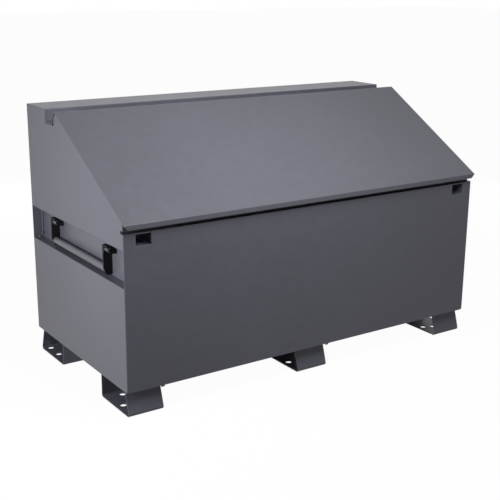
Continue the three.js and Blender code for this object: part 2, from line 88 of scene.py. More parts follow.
class Along(Enum):
    """The axis that an outline is drawn out along, after the two axes of the outline itself."""

    X = (1, 2, 0)
    Y = (0, 2, 1)
    Z = (0, 1, 2)

    def point(self, a: float, b: float, depth: float) -> Vector:
        """Returns the place of an outline's point at a depth along the axis, in metres."""
        place = [0.0, 0.0, 0.0]
        for axis, value in zip(self.value, (a, b, depth)):
            place[axis] = value * MM
        return Vector(place)


def linear(colour: str) -> tuple[float, float, float, float]:
    """Turns an sRGB hex colour into the linear values that Blender's sockets take.

    Args:
        colour: Six hex digits after a hash sign.

    Returns:
        Red, green, blue and an alpha of 1.
    """
    parts = [int(colour[k : k + 2], 16) / 255 for k in (1, 3, 5)]
    red, green, blue = (c / 12.92 if c <= 0.04045 else ((c + 0.055) / 1.055) ** 2.4 for c in parts)
    return red, green, blue, 1.0


def add_node(tree: bpy.types.NodeTree, kind: str, links: dict | None = None, **settings) -> bpy.types.Node:
    """Adds a node with its settings and links.

    Args:
        tree: The tree that gets the node.
        kind: Blender's name of the node's type.
        links: Each input's name or number, with the socket or the list of sockets that feeds it, or its
            constant value.
        **settings: The node's own properties.

    Returns:
        The new node.
    """
    node = tree.nodes.new(kind)
    for name, value in settings.items():
        setattr(node, name, value)
    for key, value in (links or {}).items():
        if isinstance(value, (bpy.types.NodeSocket, list)):
            for socket in value if isinstance(value, list) else [value]:
                tree.links.new(socket, node.inputs[key])
        else:
            node.inputs[key].default_value = value
    return node


def add_object(name: str, data: bpy.types.ID) -> bpy.types.Object:
    """Puts an object with its data in the scene and returns it."""
    made = bpy.data.objects.new(name, data)
    bpy.context.scene.collection.objects.link(made)
    return made


# Finishes


def new_material(name: str) -> tuple[bpy.types.Material, bpy.types.NodeTree]:
    """Makes an empty material and returns it with its node tree."""
    material = bpy.data.materials.new(name)
    material.use_nodes = True
    material.node_tree.nodes.clear()
    return material, material.node_tree


@dataclass(frozen=True)
class Finish:
    """What all finishes share: two tones that run into each other, an uneven gloss and a relief.

    A texture is given by its size and its detail.
    """

    name: str
    colour: str
    shade: str
    roughness: float = 0.4
    specular: float = 0.5
    metallic: ClassVar[float] = 0.0
    gloss_swing: ClassVar[Pair] = (0.05, 0.05)
    patch_range: ClassVar[Pair] = (0.3, 0.7)

    def layers(self, tree: bpy.types.NodeTree, place: bpy.types.NodeSocket) -> Layers:
        """Adds the textures of the finish.

        Args:
            tree: The material's tree.
            place: The socket with the place on the piece.

        Returns:
            The sockets of the tone and of the gloss, and a list of reliefs, each a socket and its depth.
        """
        raise NotImplementedError

    def material(self) -> bpy.types.Material:
        """Returns the finish's material."""
        material, tree = new_material(self.name)
        tone, patch, reliefs = self.layers(tree, add_node(tree, "ShaderNodeTexCoord").outputs["Object"])
        mix = {"Factor": tone, "A": linear(self.shade), "B": linear(self.colour)}
        colour = add_node(tree, "ShaderNodeMix", mix, data_type="RGBA")
        span = {
            "Value": patch,
            "From Min": self.patch_range[0],
            "From Max": self.patch_range[1],
            "To Min": self.roughness - self.gloss_swing[0],
            "To Max": self.roughness + self.gloss_swing[1],
        }
        gloss = add_node(tree, "ShaderNodeMapRange", span)
        normal: dict[str, bpy.types.NodeSocket] = {}
        for height, depth in reliefs:
            relief = {"Height": height, "Strength": 1.0, "Distance": depth * MM} | normal
            normal = {"Normal": add_node(tree, "ShaderNodeBump", relief).outputs[0]}
        look = {
            "Base Color": colour.outputs[2],
            "Roughness": gloss.outputs[0],
            "Metallic": self.metallic,
            "Specular IOR Level": self.specular,
        }
        surface = add_node(tree, "ShaderNodeBsdfPrincipled", look | normal)
        add_node(tree, "ShaderNodeOutputMaterial", {"Surface": surface.outputs[0]})
        return material


@dataclass(frozen=True)
class Enamel(Finish):
    """Powder coat, baked on steel sheet or plate.

    It gives the eye an even colour with a soft sheen. Light drifts slowly over it, because thin sheet is
    never quite flat, the tone clouds a little, and orange peel blurs each highlight. The peel of such a coat
    is 1 to 2 mm across. It is drawn coarser, so that it shows.
    """

    specular: float = 0.36
    drift: Pair = (420.0, 1.5)
    mottle: Pair = (38.0, 4.0)
    peel: Pair = (4.0, 2.0)
    peel_depth: float = 0.02
    wave: Pair = (330.0, 0.0)
    wave_depth: float = 0.5
    drift_share: float = 0.65
    tone_range: Pair = (0.55, 1.1)
    gloss_swing: ClassVar[Pair] = (0.03, 0.03)

    def layers(self, tree: bpy.types.NodeTree, place: bpy.types.NodeSocket) -> Layers:
        """Adds the drift and the cloud of the tone, the sheet's waves and the peel. See Finish.layers."""
        drift, mottle, peel, wave = (
            add_node(
                tree, "ShaderNodeTexNoise", {"Vector": place, "Scale": 1 / (size * MM), "Detail": detail}
            ).outputs["Fac"]
            for size, detail in (self.drift, self.mottle, self.peel, self.wave)
        )
        both = {0: drift, 1: self.drift_share, 2: mottle}
        tone = add_node(tree, "ShaderNodeMath", both, operation="MULTIPLY_ADD")
        low, high = self.tone_range
        span = {"Value": tone.outputs[0], "From Min": low, "From Max": high}
        blend = add_node(tree, "ShaderNodeMapRange", span)
        return blend.outputs[0], mottle, [(wave, self.wave_depth), (peel, self.peel_depth)]


@dataclass(frozen=True)
class ZincPlate(Finish):
    """Bright zinc plating on drawn and pressed steel.

    It gives the eye a pale, slightly cloudy metal, whose highlights the drawing lines under it pull out
    along one axis. Such lines are about 0.1 mm apart. They are drawn coarser, so that they show.
    """

    cloud: Pair = (9.0, 3.0)
    line: Pair = (0.7, 1.0)
    line_depth: float = 0.01
    stretch: tuple[float, float, float] = (1.0, 0.06, 1.0)
    metallic: ClassVar[float] = 1.0
    gloss_swing: ClassVar[Pair] = (0.06, 0.08)

    def layers(self, tree: bpy.types.NodeTree, place: bpy.types.NodeSocket) -> Layers:
        """Adds the cloud and the drawing lines. See Finish.layers."""
        drawn = add_node(tree, "ShaderNodeMapping", {"Vector": place, "Scale": self.stretch}).outputs[0]
        cloud, lines = (
            add_node(
                tree, "ShaderNodeTexNoise", {"Vector": source, "Scale": 1 / (size * MM), "Detail": detail}
            ).outputs["Fac"]
            for source, (size, detail) in ((place, self.cloud), (drawn, self.line))
        )
        return cloud, cloud, [(lines, self.line_depth)]


@dataclass(frozen=True)
class Moulding(Finish):
    """Moulded vinyl or rubber.

    It gives the eye a dull surface of one colour, faintly stained, with a broad sheen that the grain of the
    mould breaks up. Such a grain is about 0.5 mm across. It is drawn coarser, so that it shows.
    """

    grain: float = 1.6
    grain_depth: float = 0.01
    stain_scale: ClassVar[int] = 14
    stain_detail: ClassVar[float] = 3.0

    def layers(self, tree: bpy.types.NodeTree, place: bpy.types.NodeSocket) -> Layers:
        """Adds the stain and the grain. See Finish.layers."""
        grain = add_node(tree, "ShaderNodeTexVoronoi", {"Vector": place, "Scale": 1 / (self.grain * MM)})
        size = self.stain_scale * self.grain
        spread = {"Vector": place, "Scale": 1 / (size * MM), "Detail": self.stain_detail}
        stain = add_node(tree, "ShaderNodeTexNoise", spread).outputs["Fac"]
        return stain, stain, [(grain.outputs["Distance"], self.grain_depth)]


FINISHES: dict[Slot, Finish] = {
    Slot.BODY: Enamel("grey_powder_coat_body", "#62636e", "#5c5d67"),
    Slot.LID: Enamel("grey_powder_coat_lid", "#62636d", "#5c5d66"),
    # The feet's coat is the body's grey paint made darker: painted shade for feet that stand under the box.
    Slot.FOOT: Enamel("grey_powder_coat_feet_painted_shade", "#5a5b67", "#52535e", 0.44, wave_depth=0.1),
    Slot.BLACK: Enamel("black_satin_enamel", "#121214", "#0d0d0f", 0.5, 0.25, wave_depth=0.05),
    Slot.GRIP: Moulding("grey_moulded_vinyl", "#66676f", "#5c5d64", 0.42),
    Slot.ZINC: ZincPlate("bright_zinc_plate", "#77797e", "#585a5f", 0.46),
    Slot.RUBBER: Moulding("black_moulded_rubber", "#1d1d1f", "#161617", 0.8, grain=1.2, grain_depth=0.05),
}
MATERIALS = {slot: finish.material() for slot, finish in FINISHES.items()}


# Outlines


def heading(start: Point, end: Point) -> float:
    """Returns the angle of the line from one point to the next."""
    return math.atan2(end[1] - start[1], end[0] - start[0])


def quarter(steps: int) -> list[float]:
    """Returns the angles of a quarter turn, from 0, in equal steps."""
    return [math.pi / 2 * k / steps for k in range(steps + 1)]


def turn_at(before: Point, here: Point, after: Point) -> tuple[float, float]:
    """Returns a line's heading before a corner, and the angle that it turns by there."""
    first = heading(before, here)
    return first, math.remainder(heading(here, after) - first, 2 * math.pi)


def arc_at(
    corner: Point, first: float, turn: float, radius: float, steps: int
) -> list[tuple[float, float, float]]:
    """Rounds a corner of a line.

    Args:
        corner: The corner.
        first: The line's heading before it.
        turn: The angle that the line turns by.
        radius: The radius of the round.
        steps: The number of edges in the arc.

    Returns:
        The arc's points, each as its two coordinates and the line's heading there.
    """
    way = 1 if turn > 0 else -1
    back = radius * math.tan(abs(turn) / 2)
    start = (corner[0] - back * math.cos(first), corner[1] - back * math.sin(first))
    centre = (start[0] - way * radius * math.sin(first), start[1] + way * radius * math.cos(first))
    angles = (first + turn * step / steps for step in range(steps + 1))
    return [
        (centre[0] + way * radius * math.sin(t), centre[1] - way * radius * math.cos(t), t) for t in angles
    ]


def folded(
    points: Sequence[Point], gauge: float, radius: float, side: int
) -> tuple[list[Point], list[Point]]:
    """Bends a sheet along a line of points.

    Args:
        points: The line, which lies on one face of the sheet.
        gauge: The sheet's thickness.
        radius: The radius of the face on the line where it bends towards the thickness, and of the other
            face where it bends away from it.
        side: 1 where the thickness goes to the left of the line, or -1 to the right.

    Returns:
        The points of the sheet's face on the line, and those of its other face, in pairs.
    """
    spine = [(*points[0], heading(points[0], points[1]))]
    for before, here, after in zip(points, points[1:], points[2:]):
        first, turn = turn_at(before, here, after)
        reach = radius if (turn > 0) == (side > 0) else radius + gauge
        spine += arc_at(here, first, turn, reach, FOLD_STEPS)
    spine.append((*points[-1], heading(points[-2], points[-1])))
    near = [(x, y) for x, y, _ in spine]
    far = [(x - side * gauge * math.sin(t), y + side * gauge * math.cos(t)) for x, y, t in spine]
    return near, far


def rectangle(a0: float, a1: float, b0: float, b1: float) -> list[Point]:
    """Returns the corners of a rectangle."""
    return [(a0, b0), (a1, b0), (a1, b1), (a0, b1)]


def circle(a: float, b: float, radius: float, sides: int = ROUND_SIDES) -> list[Point]:
    """Returns the points of a circle."""
    turns = (2 * math.pi * (k + 0.5) / sides for k in range(sides))
    return [(a + radius * math.cos(t), b + radius * math.sin(t)) for t in turns]


def rounded(corners: Sequence[Point], radius: float, steps: int = 6) -> list[Point]:
    """Returns an outline with each corner rounded to a radius, by an arc of so many edges."""
    points: list[Point] = []
    for k, here in enumerate(corners):
        first, turn = turn_at(corners[k - 1], here, corners[(k + 1) % len(corners)])
        points += [(x, y) for x, y, _ in arc_at(here, first, turn, radius, steps)]
    return points


# Meshes


class Blank:
    """Closed shells in the making. What goes in is in millimetres."""

    def __init__(self) -> None:
        """Starts with nothing."""
        self.mesh = bmesh.new()

    def _rings(self, rings: Iterable[Iterable[Vector]]) -> list[list[bmesh.types.BMVert]]:
        """Adds the vertices of each ring and returns them."""
        return [[self.mesh.verts.new(place) for place in ring] for ring in rings]

    def _walls(self, first: list, second: list) -> None:
        """Joins two rings of vertices with a band of faces."""
        for k in range(len(first)):
            self.mesh.faces.new((first[k - 1], first[k], second[k], second[k - 1]))

    def prism(self, outline: Sequence[Point], along: Along, start: float, end: float) -> "Blank":
        """Draws an outline out along an axis, between two depths."""
        near, far = self._rings([[along.point(a, b, depth) for a, b in outline] for depth in (start, end)])
        self._walls(near, far)
        self.mesh.faces.new(near)
        self.mesh.faces.new(far)
        return self

    def box(self, low: Place, high: Place) -> "Blank":
        """Adds a block between two corners."""
        return self.prism(rectangle(low[0], high[0], low[1], high[1]), Along.Z, low[2], high[2])

    def sheet(
        self,
        points: Sequence[Point],
        gauge: float,
        radius: float,
        side: int,
        along: Along,
        start: float,
        end: float,
    ) -> "Blank":
        """Adds a bent sheet, drawn out along an axis between two depths. See folded for the rest."""
        faces = folded(points, gauge, radius, side)
        near0, far0, near1, far1 = self._rings(
            [[along.point(a, b, depth) for a, b in face] for depth in (start, end) for face in faces]
        )
        for k in range(1, len(near0)):
            for one, two in ((near0, near1), (far0, far1), (near0, far0), (near1, far1)):
                self.mesh.faces.new((one[k - 1], one[k], two[k], two[k - 1]))
        for k in (0, -1):
            self.mesh.faces.new((near0[k], near1[k], far1[k], far0[k]))
        return self

    def turned(
        self,
        profile: Sequence[Point],
        along: Along,
        centre: Point,
        hollow: bool = False,
        sides: int = ROUND_SIDES,
    ) -> "Blank":
        """Turns a profile about an axis.

        Args:
            profile: Radius and depth of each ring.
            along: The axis.
            centre: The axis's place in the two other directions.
            hollow: Whether the last ring joins the first, as in a tube.
            sides: The number of points in a ring.

        Returns:
            This blank.
        """
        rings = self._rings(
            [along.point(a, b, depth) for a, b in circle(*centre, radius, sides)] for radius, depth in profile
        )
        for first, second in zip(rings, rings[1:]):
            self._walls(first, second)
        if hollow:
            self._walls(rings[-1], rings[0])
        else:
            self.mesh.faces.new(rings[0])
            self.mesh.faces.new(rings[-1])
        return self

    def placed(self, matrix: Matrix) -> "Blank":
        """Moves everything made so far by a matrix in metres."""
        bmesh.ops.transform(self.mesh, matrix=matrix, verts=self.mesh.verts)
        return self

    def piece(self, name: str) -> bpy.types.Object:
        """Turns the blank into an object with its faces outwards, and returns it."""
        bmesh.ops.recalc_face_normals(self.mesh, faces=self.mesh.faces)
        data = bpy.data.meshes.new(name)
        self.mesh.to_mesh(data)
        self.mesh.free()
        return add_object(name, data)


def settle(piece: bpy.types.Object) -> None:
    """Puts the result of a piece's modifiers in its mesh and removes them."""
    graph = bpy.context.evaluated_depsgraph_get()
    data = bpy.data.meshes.new_from_object(
        piece.evaluated_get(graph), preserve_all_data_layers=True, depsgraph=graph
    )
    piece.modifiers.clear()
    spent = piece.data
    piece.data = data
    bpy.data.meshes.remove(spent)


def carve(piece: bpy.types.Object, cutter: Blank, operation: str = "DIFFERENCE") -> None:
    """Cuts a blank out of a piece, or does what Blender's name of another operation says."""
    tool = cutter.piece("cutter")
    modifier = piece.modifiers.new("carve", "BOOLEAN")
    modifier.operation = operation
    modifier.solver = "EXACT"
    modifier.object = tool
    settle(piece)
    data = tool.data
    bpy.data.objects.remove(tool)
    bpy.data.meshes.remove(data)


def tidy(piece: bpy.types.Object) -> None:
    """Merges doubled points, drops faces with no area and joins faces that lie flat beside each other."""
    work = bmesh.new()
    work.from_mesh(piece.data)
    bmesh.ops.remove_doubles(work, verts=work.verts, dist=MERGE_DISTANCE * MM)
    bmesh.ops.dissolve_degenerate(work, edges=work.edges, dist=MERGE_DISTANCE * MM)
    bmesh.ops.dissolve_limit(
        work,
        angle_limit=math.radians(FLAT_ANGLE),
        verts=work.verts,
        edges=work.edges,
        use_dissolve_boundaries=False,
    )
    bmesh.ops.recalc_face_normals(work, faces=work.faces)
    work.to_mesh(piece.data)
    work.free()


def soften(piece: bpy.types.Object, width: float, segments: int = 2) -> None:
    """Breaks a piece's sharp edges with a small round, and shades it smooth with its flat faces kept flat.

    Folds and inner corners are left as they are, and so are edges as thin as a knife's, which have no room
    for a round. No point goes beyond the box that the piece fills before.

    Args:
        piece: The piece.
        width: The width of the round.
        segments: The number of faces across it.
    """
    work = bmesh.new()
    work.from_mesh(piece.data)
    places = [vertex.co.copy() for vertex in work.verts]
    low, high = (Vector(pick(axis) for axis in zip(*places)) for pick in (min, max))
    sharp = [
        edge
        for edge in work.edges
        if edge.is_manifold and FOLD_ANGLE < math.degrees(edge.calc_face_angle_signed()) < KNIFE_ANGLE
    ]
    bmesh.ops.bevel(
        work,
        geom=sharp,
        offset=width * MM,
        offset_type="OFFSET",
        segments=segments,
        profile=0.5,
        affect="EDGES",
        clamp_overlap=False,
        miter_outer="SHARP",
    )
    for vertex in work.verts:
        vertex.co = [min(max(c, a), b) for c, a, b in zip(vertex.co, low, high)]
    work.to_mesh(piece.data)
    work.free()
    piece.data.polygons.foreach_set("use_smooth", [True] * len(piece.data.polygons))
    weighted = piece.modifiers.new("shading", "WEIGHTED_NORMAL")
    weighted.mode = "FACE_AREA"
    weighted.weight = 100
    settle(piece)


def shade_by_angle(piece: bpy.types.Object) -> None:
    """Shades a turned piece smooth, but for its sharp edges."""
    piece.data.polygons.foreach_set("use_smooth", [True] * len(piece.data.polygons))
    piece.data.set_sharp_from_angle(angle=math.radians(SHARP_ANGLE))


def dress(piece: bpy.types.Object, slot: Slot, body: str, *nodes: str) -> None:
    """Gives a finished piece its finish and its body, and says which nodes it stands for.

    Args:
        piece: The piece, with its place in its mesh.
        slot: The material slot.
        body: The body that it rides on.
        *nodes: The nodes that it replaces.
    """
    piece.data.materials.clear()
    piece.data.materials.append(MATERIALS[slot])
    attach(piece, body)
    if nodes:
        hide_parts(*nodes)
    log.info("%s rides on %s: %d faces", piece.name, body, len(piece.data.polygons))


def plate(
    blank: Blank,
    node: str,
    form: str,
    slot: Slot,
    body: str,
    edge: float,
    segments: int = 2,
    joins: Iterable[Blank] = (),
    cuts: Iterable[Blank] = (),
    matrix: Matrix | None = None,
) -> None:
    """Makes a dressed piece of sheet or plate, with its edges broken.

    Args:
        blank: Its shape before the cuts.
        node: The node that it replaces.
        form: The word that follows the node's name in its own.
        slot: The material slot.
        body: The body that it rides on.
        edge: The width of the round on its edges.
        segments: The number of faces across that round.
        joins: What is joined on.
        cuts: What is then cut out.
        matrix: Where the whole then goes, in metres.
    """
    piece = blank.piece(f"{node}_{form}")
    for part in joins:
        carve(piece, part, "UNION")
    for part in cuts:
        carve(piece, part)
    if matrix:
        piece.data.transform(matrix)
    tidy(piece)
    soften(piece, edge, segments)
    dress(piece, slot, body, node)


def turning(blank: Blank, name: str, slot: Slot, body: str, *nodes: str) -> None:
    """Makes a dressed piece of what was turned on a lathe. See dress for the rest."""
    piece = blank.piece(name)
    shade_by_angle(piece)
    dress(piece, slot, body, *nodes)


# Trees of geometry nodes


REAL = "NodeSocketFloat"
WHOLE = "NodeSocketInt"
ARROW = "NodeSocketVector"


class Pattern:
    """A Geometry Nodes tree whose inputs are set by name."""

    def __init__(self, name: str, **inputs: str) -> None:
        """Starts the tree.

        Args:
            name: The tree's name.
            **inputs: Each input's kind of socket, under its name.
        """
        self.tree = bpy.data.node_groups.new(name, "GeometryNodeTree")
        face = self.tree.interface
        face.new_socket(name="Geometry", in_out="INPUT", socket_type="NodeSocketGeometry")
        face.new_socket(name="Geometry", in_out="OUTPUT", socket_type="NodeSocketGeometry")
        self.keys = {
            label: face.new_socket(name=label, in_out="INPUT", socket_type=kind).identifier
            for label, kind in (inputs | {"Finish": "NodeSocketMaterial"}).items()
        }
        self.source = add_node(self.tree, "NodeGroupInput").outputs

    def node(self, kind: str, links: dict | None = None, **settings) -> bpy.types.NodeOutputs:
        """Adds a node to the tree and returns its outputs."""
        return add_node(self.tree, kind, links, **settings).outputs

    def close(self, shape: bpy.types.NodeSocket) -> "Pattern":
        """Ends the tree with real geometry, smooth shading and a material."""
        real = self.node("GeometryNodeRealizeInstances", {0: shape})
        smooth = self.node("GeometryNodeSetShadeSmooth", {"Geometry": real[0]})
        coat = {"Geometry": smooth[0], "Material": self.source["Finish"]}
        finished = self.node("GeometryNodeSetMaterial", coat)
        add_node(self.tree, "NodeGroupOutput", {"Geometry": finished[0]})
        return self

    def close_facing(self, shape: bpy.types.NodeSocket, **more: bpy.types.NodeSocket) -> "Pattern":
        """Ends the tree with a shape on each point of the piece, turned to face one way."""
        points = self.node("GeometryNodeMeshToPoints", {"Mesh": self.source["Geometry"]})
        turn = self.node("FunctionNodeAlignRotationToVector", {"Vector": self.source["Facing"]}, axis="Z")
        links = {"Points": points[0], "Instance": shape, "Rotation": turn[0]} | more
        return self.close(self.node("GeometryNodeInstanceOnPoints", links)[0])

    def apply(self, piece: bpy.types.Object, slot: Slot, **values: object) -> None:
        """Runs the tree on a piece.

        Args:
            piece: The piece whose mesh goes in, and that gets the result.
            slot: The material slot of the result.
            **values: The inputs, under their names. Each float is a length in millimetres.
        """
        modifier = piece.modifiers.new(self.tree.name, "NODES")
        modifier.node_group = self.tree
        for label, value in values.items():
            modifier[self.keys[label]] = value * MM if isinstance(value, float) else value
        modifier[self.keys["Finish"]] = MATERIALS[slot]
        settle(piece)

    def lay(
        self,
        name: str,
        lines: Iterable[Sequence[Place]],
        slot: Slot,
        body: str,
        *nodes: str,
        matrix: Matrix | None = None,
        sharp: bool = False,
        **values: object,
    ) -> None:
        """Makes a dressed piece by running the tree on rows of places. See marks, dress and apply.

        Args:
            name: The piece's name.
            lines: The rows of places.
            slot: The material slot.
            body: The body that it rides on.
            *nodes: The nodes that it replaces.
            matrix: Where the places go, in metres.
            sharp: Whether it has sharp edges.
            **values: The tree's inputs.
        """
        piece = marks(name, lines, matrix)
        self.apply(piece, slot, **values)
        if sharp:
            shade_by_angle(piece)
        dress(piece, slot, body, *nodes)


def weld_pattern() -> Pattern:
    """Makes the tree that lays the ripples of a weld bead along lines."""
    pattern = Pattern("weld_bead", Pitch=REAL, Width=REAL, Height=REAL, Seed=WHOLE)
    source = pattern.source
    line = pattern.node("GeometryNodeMeshToCurve", {"Mesh": source["Geometry"]})
    pace = {"Curve": line[0], "Length": source["Pitch"]}
    steps = pattern.node("GeometryNodeResampleCurve", pace, mode="LENGTH")
    ripple = pattern.node("GeometryNodeMeshUVSphere", {"Segments": 8, "Rings": 5, "Radius": 1.0})
    tangent = pattern.node("GeometryNodeInputTangent")
    turn = pattern.node("FunctionNodeAlignRotationToVector", {"Vector": tangent[0]}, axis="X")
    sizes = {0: source["Pitch"], 1: source["Width"], 2: source["Height"]}
    size = pattern.node("ShaderNodeCombineXYZ", sizes)
    spread = {"Min": RIPPLE_SPREAD[0], "Max": RIPPLE_SPREAD[1], "Seed": source["Seed"]}
    uneven = pattern.node("FunctionNodeRandomValue", spread)
    factor = next(output for output in uneven if output.type == "VALUE" and output.enabled)
    scale = pattern.node("ShaderNodeVectorMath", {0: size[0], "Scale": factor}, operation="SCALE")
    links = {"Points": steps[0], "Instance": ripple[0], "Rotation": turn[0], "Scale": scale[0]}
    return pattern.close(pattern.node("GeometryNodeInstanceOnPoints", links)[0])


def button_pattern() -> Pattern:
    """Makes the tree that sets low round buttons, such as rivet heads and spot welds, on points."""
    pattern = Pattern("round_buttons", Radius=REAL, Height=REAL, Facing=ARROW)
    radius, height = pattern.source["Radius"], pattern.source["Height"]
    dome = pattern.node("GeometryNodeMeshUVSphere", {"Segments": 16, "Rings": 8, "Radius": 1.0})
    size = pattern.node("ShaderNodeCombineXYZ", {0: radius, 1: radius, 2: height})
    return pattern.close_facing(dome[0], Scale=size[0])


@dataclass(frozen=True)
class Layer:
    """A layer of a bolt head, in shares of the head's radius and height."""

    sides: int
    foot: float
    top: float
    level: float
    depth: float


BOLT_HEAD = (Layer(24, 1.3, 1.22, 0.0, 0.22), Layer(6, 1.0, 1.0, 0.22, 0.66), Layer(6, 1.0, 0.84, 0.88, 0.12))


def nut_pattern() -> Pattern:
    """Makes the tree that sets hexagon heads on washers on points."""
    pattern = Pattern("hexagon_heads", Radius=REAL, Height=REAL, Facing=ARROW)

    def share(label: str, factor: float) -> bpy.types.NodeSocket:
        """Returns an input's value times a factor."""
        return pattern.node("ShaderNodeMath", {0: pattern.source[label], 1: factor}, operation="MULTIPLY")[0]

    layers = []
    for layer in BOLT_HEAD:
        form = {
            "Vertices": layer.sides,
            "Radius Top": share("Radius", layer.top),
            "Radius Bottom": share("Radius", layer.foot),
            "Depth": share("Height", layer.depth),
        }
        cone = pattern.node("GeometryNodeMeshCone", form)
        lift = pattern.node("ShaderNodeCombineXYZ", {2: share("Height", layer.level)})
        lifted = {"Geometry": cone[0], "Translation": lift[0]}
        layers.append(pattern.node("GeometryNodeTransform", lifted)[0])
    return pattern.close_facing(pattern.node("GeometryNodeJoinGeometry", {0: layers})[0])


def knuckle_pattern() -> Pattern:
    """Makes the tree that sets every second knuckle of a long hinge in a row along X, round its bore."""
    pattern = Pattern("hinge_knuckles", Count=WHOLE, Pitch=REAL, Length=REAL, Radius=REAL, Bore=REAL)
    source = pattern.source
    start = pattern.node("GeometryNodeMeshToPoints", {"Mesh": source["Geometry"]})
    step = pattern.node("ShaderNodeCombineXYZ", {0: source["Pitch"]})
    spacing = {"Count": source["Count"], "Offset": step[0]}
    row = pattern.node("GeometryNodeMeshLine", spacing, mode="OFFSET")
    barrel, drill = (
        pattern.node("GeometryNodeMeshCylinder", {"Vertices": DRILL_SIDES, "Radius": radius, "Depth": depth})
        for radius, depth in ((source["Radius"], source["Length"]), (source["Bore"], BORE_DEPTH * MM))
    )
    pair = {"Mesh 1": barrel[0], "Mesh 2": drill[0]}
    ring = pattern.node("GeometryNodeMeshBoolean", pair, operation="DIFFERENCE")
    lying = {"Geometry": ring[0], "Rotation": (0.0, math.pi / 2, 0.0)}
    laid = pattern.node("GeometryNodeTransform", lying)
    knuckles = pattern.node("GeometryNodeInstanceOnPoints", {"Points": row[0], "Instance": laid[0]})
    rows = pattern.node("GeometryNodeInstanceOnPoints", {"Points": start[0], "Instance": knuckles[0]})
    return pattern.close(rows[0])


def drill_pattern() -> Pattern:
    """Makes the tree that drills a row of upright holes through a plate, at another object's points."""
    pattern = Pattern("drilled_plate", Places="NodeSocketObject", Radius=REAL, Depth=REAL)
    source = pattern.source
    spots = pattern.node("GeometryNodeObjectInfo", {"Object": source["Places"]}, transform_space="RELATIVE")
    points = pattern.node("GeometryNodeMeshToPoints", {"Mesh": spots["Geometry"]})
    form = {"Vertices": DRILL_SIDES, "Radius": source["Radius"], "Depth": source["Depth"]}
    drill = pattern.node("GeometryNodeMeshCylinder", form)
    drills = pattern.node("GeometryNodeInstanceOnPoints", {"Points": points[0], "Instance": drill[0]})
    solid = pattern.node("GeometryNodeRealizeInstances", {0: drills[0]})
    pair = {"Mesh 1": source["Geometry"], "Mesh 2": solid[0]}
    return pattern.close(pattern.node("GeometryNodeMeshBoolean", pair, operation="DIFFERENCE")[0])


WELD = weld_pattern()
BUTTONS = button_pattern()
NUTS = nut_pattern()
KNUCKLES = knuckle_pattern()
DRILL = drill_pattern()


def marks(name: str, lines: Iterable[Sequence[Place]], matrix: Matrix | None = None) -> bpy.types.Object:
    """Makes an object of loose points or lines for a tree to work on.

    Args:
        name: The object's name.
        lines: Rows of places in millimetres, joined within a row.
        matrix: Where the places go, in metres.

    Returns:
        The object.
    """
    places: list[Vector] = []
    edges: list[tuple[int, int]] = []
    for line in lines:
        for k, place in enumerate(line):
            if k:
                edges.append((len(places) - 1, len(places)))
            places.append(Vector(place) * MM)
    data = bpy.data.meshes.new(name)
    data.from_pydata([matrix @ p if matrix else p for p in places], edges, [])
    return add_object(name, data)


def bead(
    name: str,
    body: str,
    lines: Iterable[Sequence[Place]],
    slot: Slot = Slot.BODY,
    width: float = 2.6,
    seed: int = 1,
) -> None:
    """Lays weld beads along lines and lets them ride on a body.

    Args:
        name: The piece's name.
        body: The body.
        lines: The lines, in millimetres.
        slot: The coat over the weld.
        width: Half the bead's width.
        seed: What its unevenness grows from.
    """
    height = width * RIPPLE_RISE
    WELD.lay(name, lines, slot, body, Pitch=RIPPLE_PITCH, Width=width, Height=height, Seed=seed)


# The box


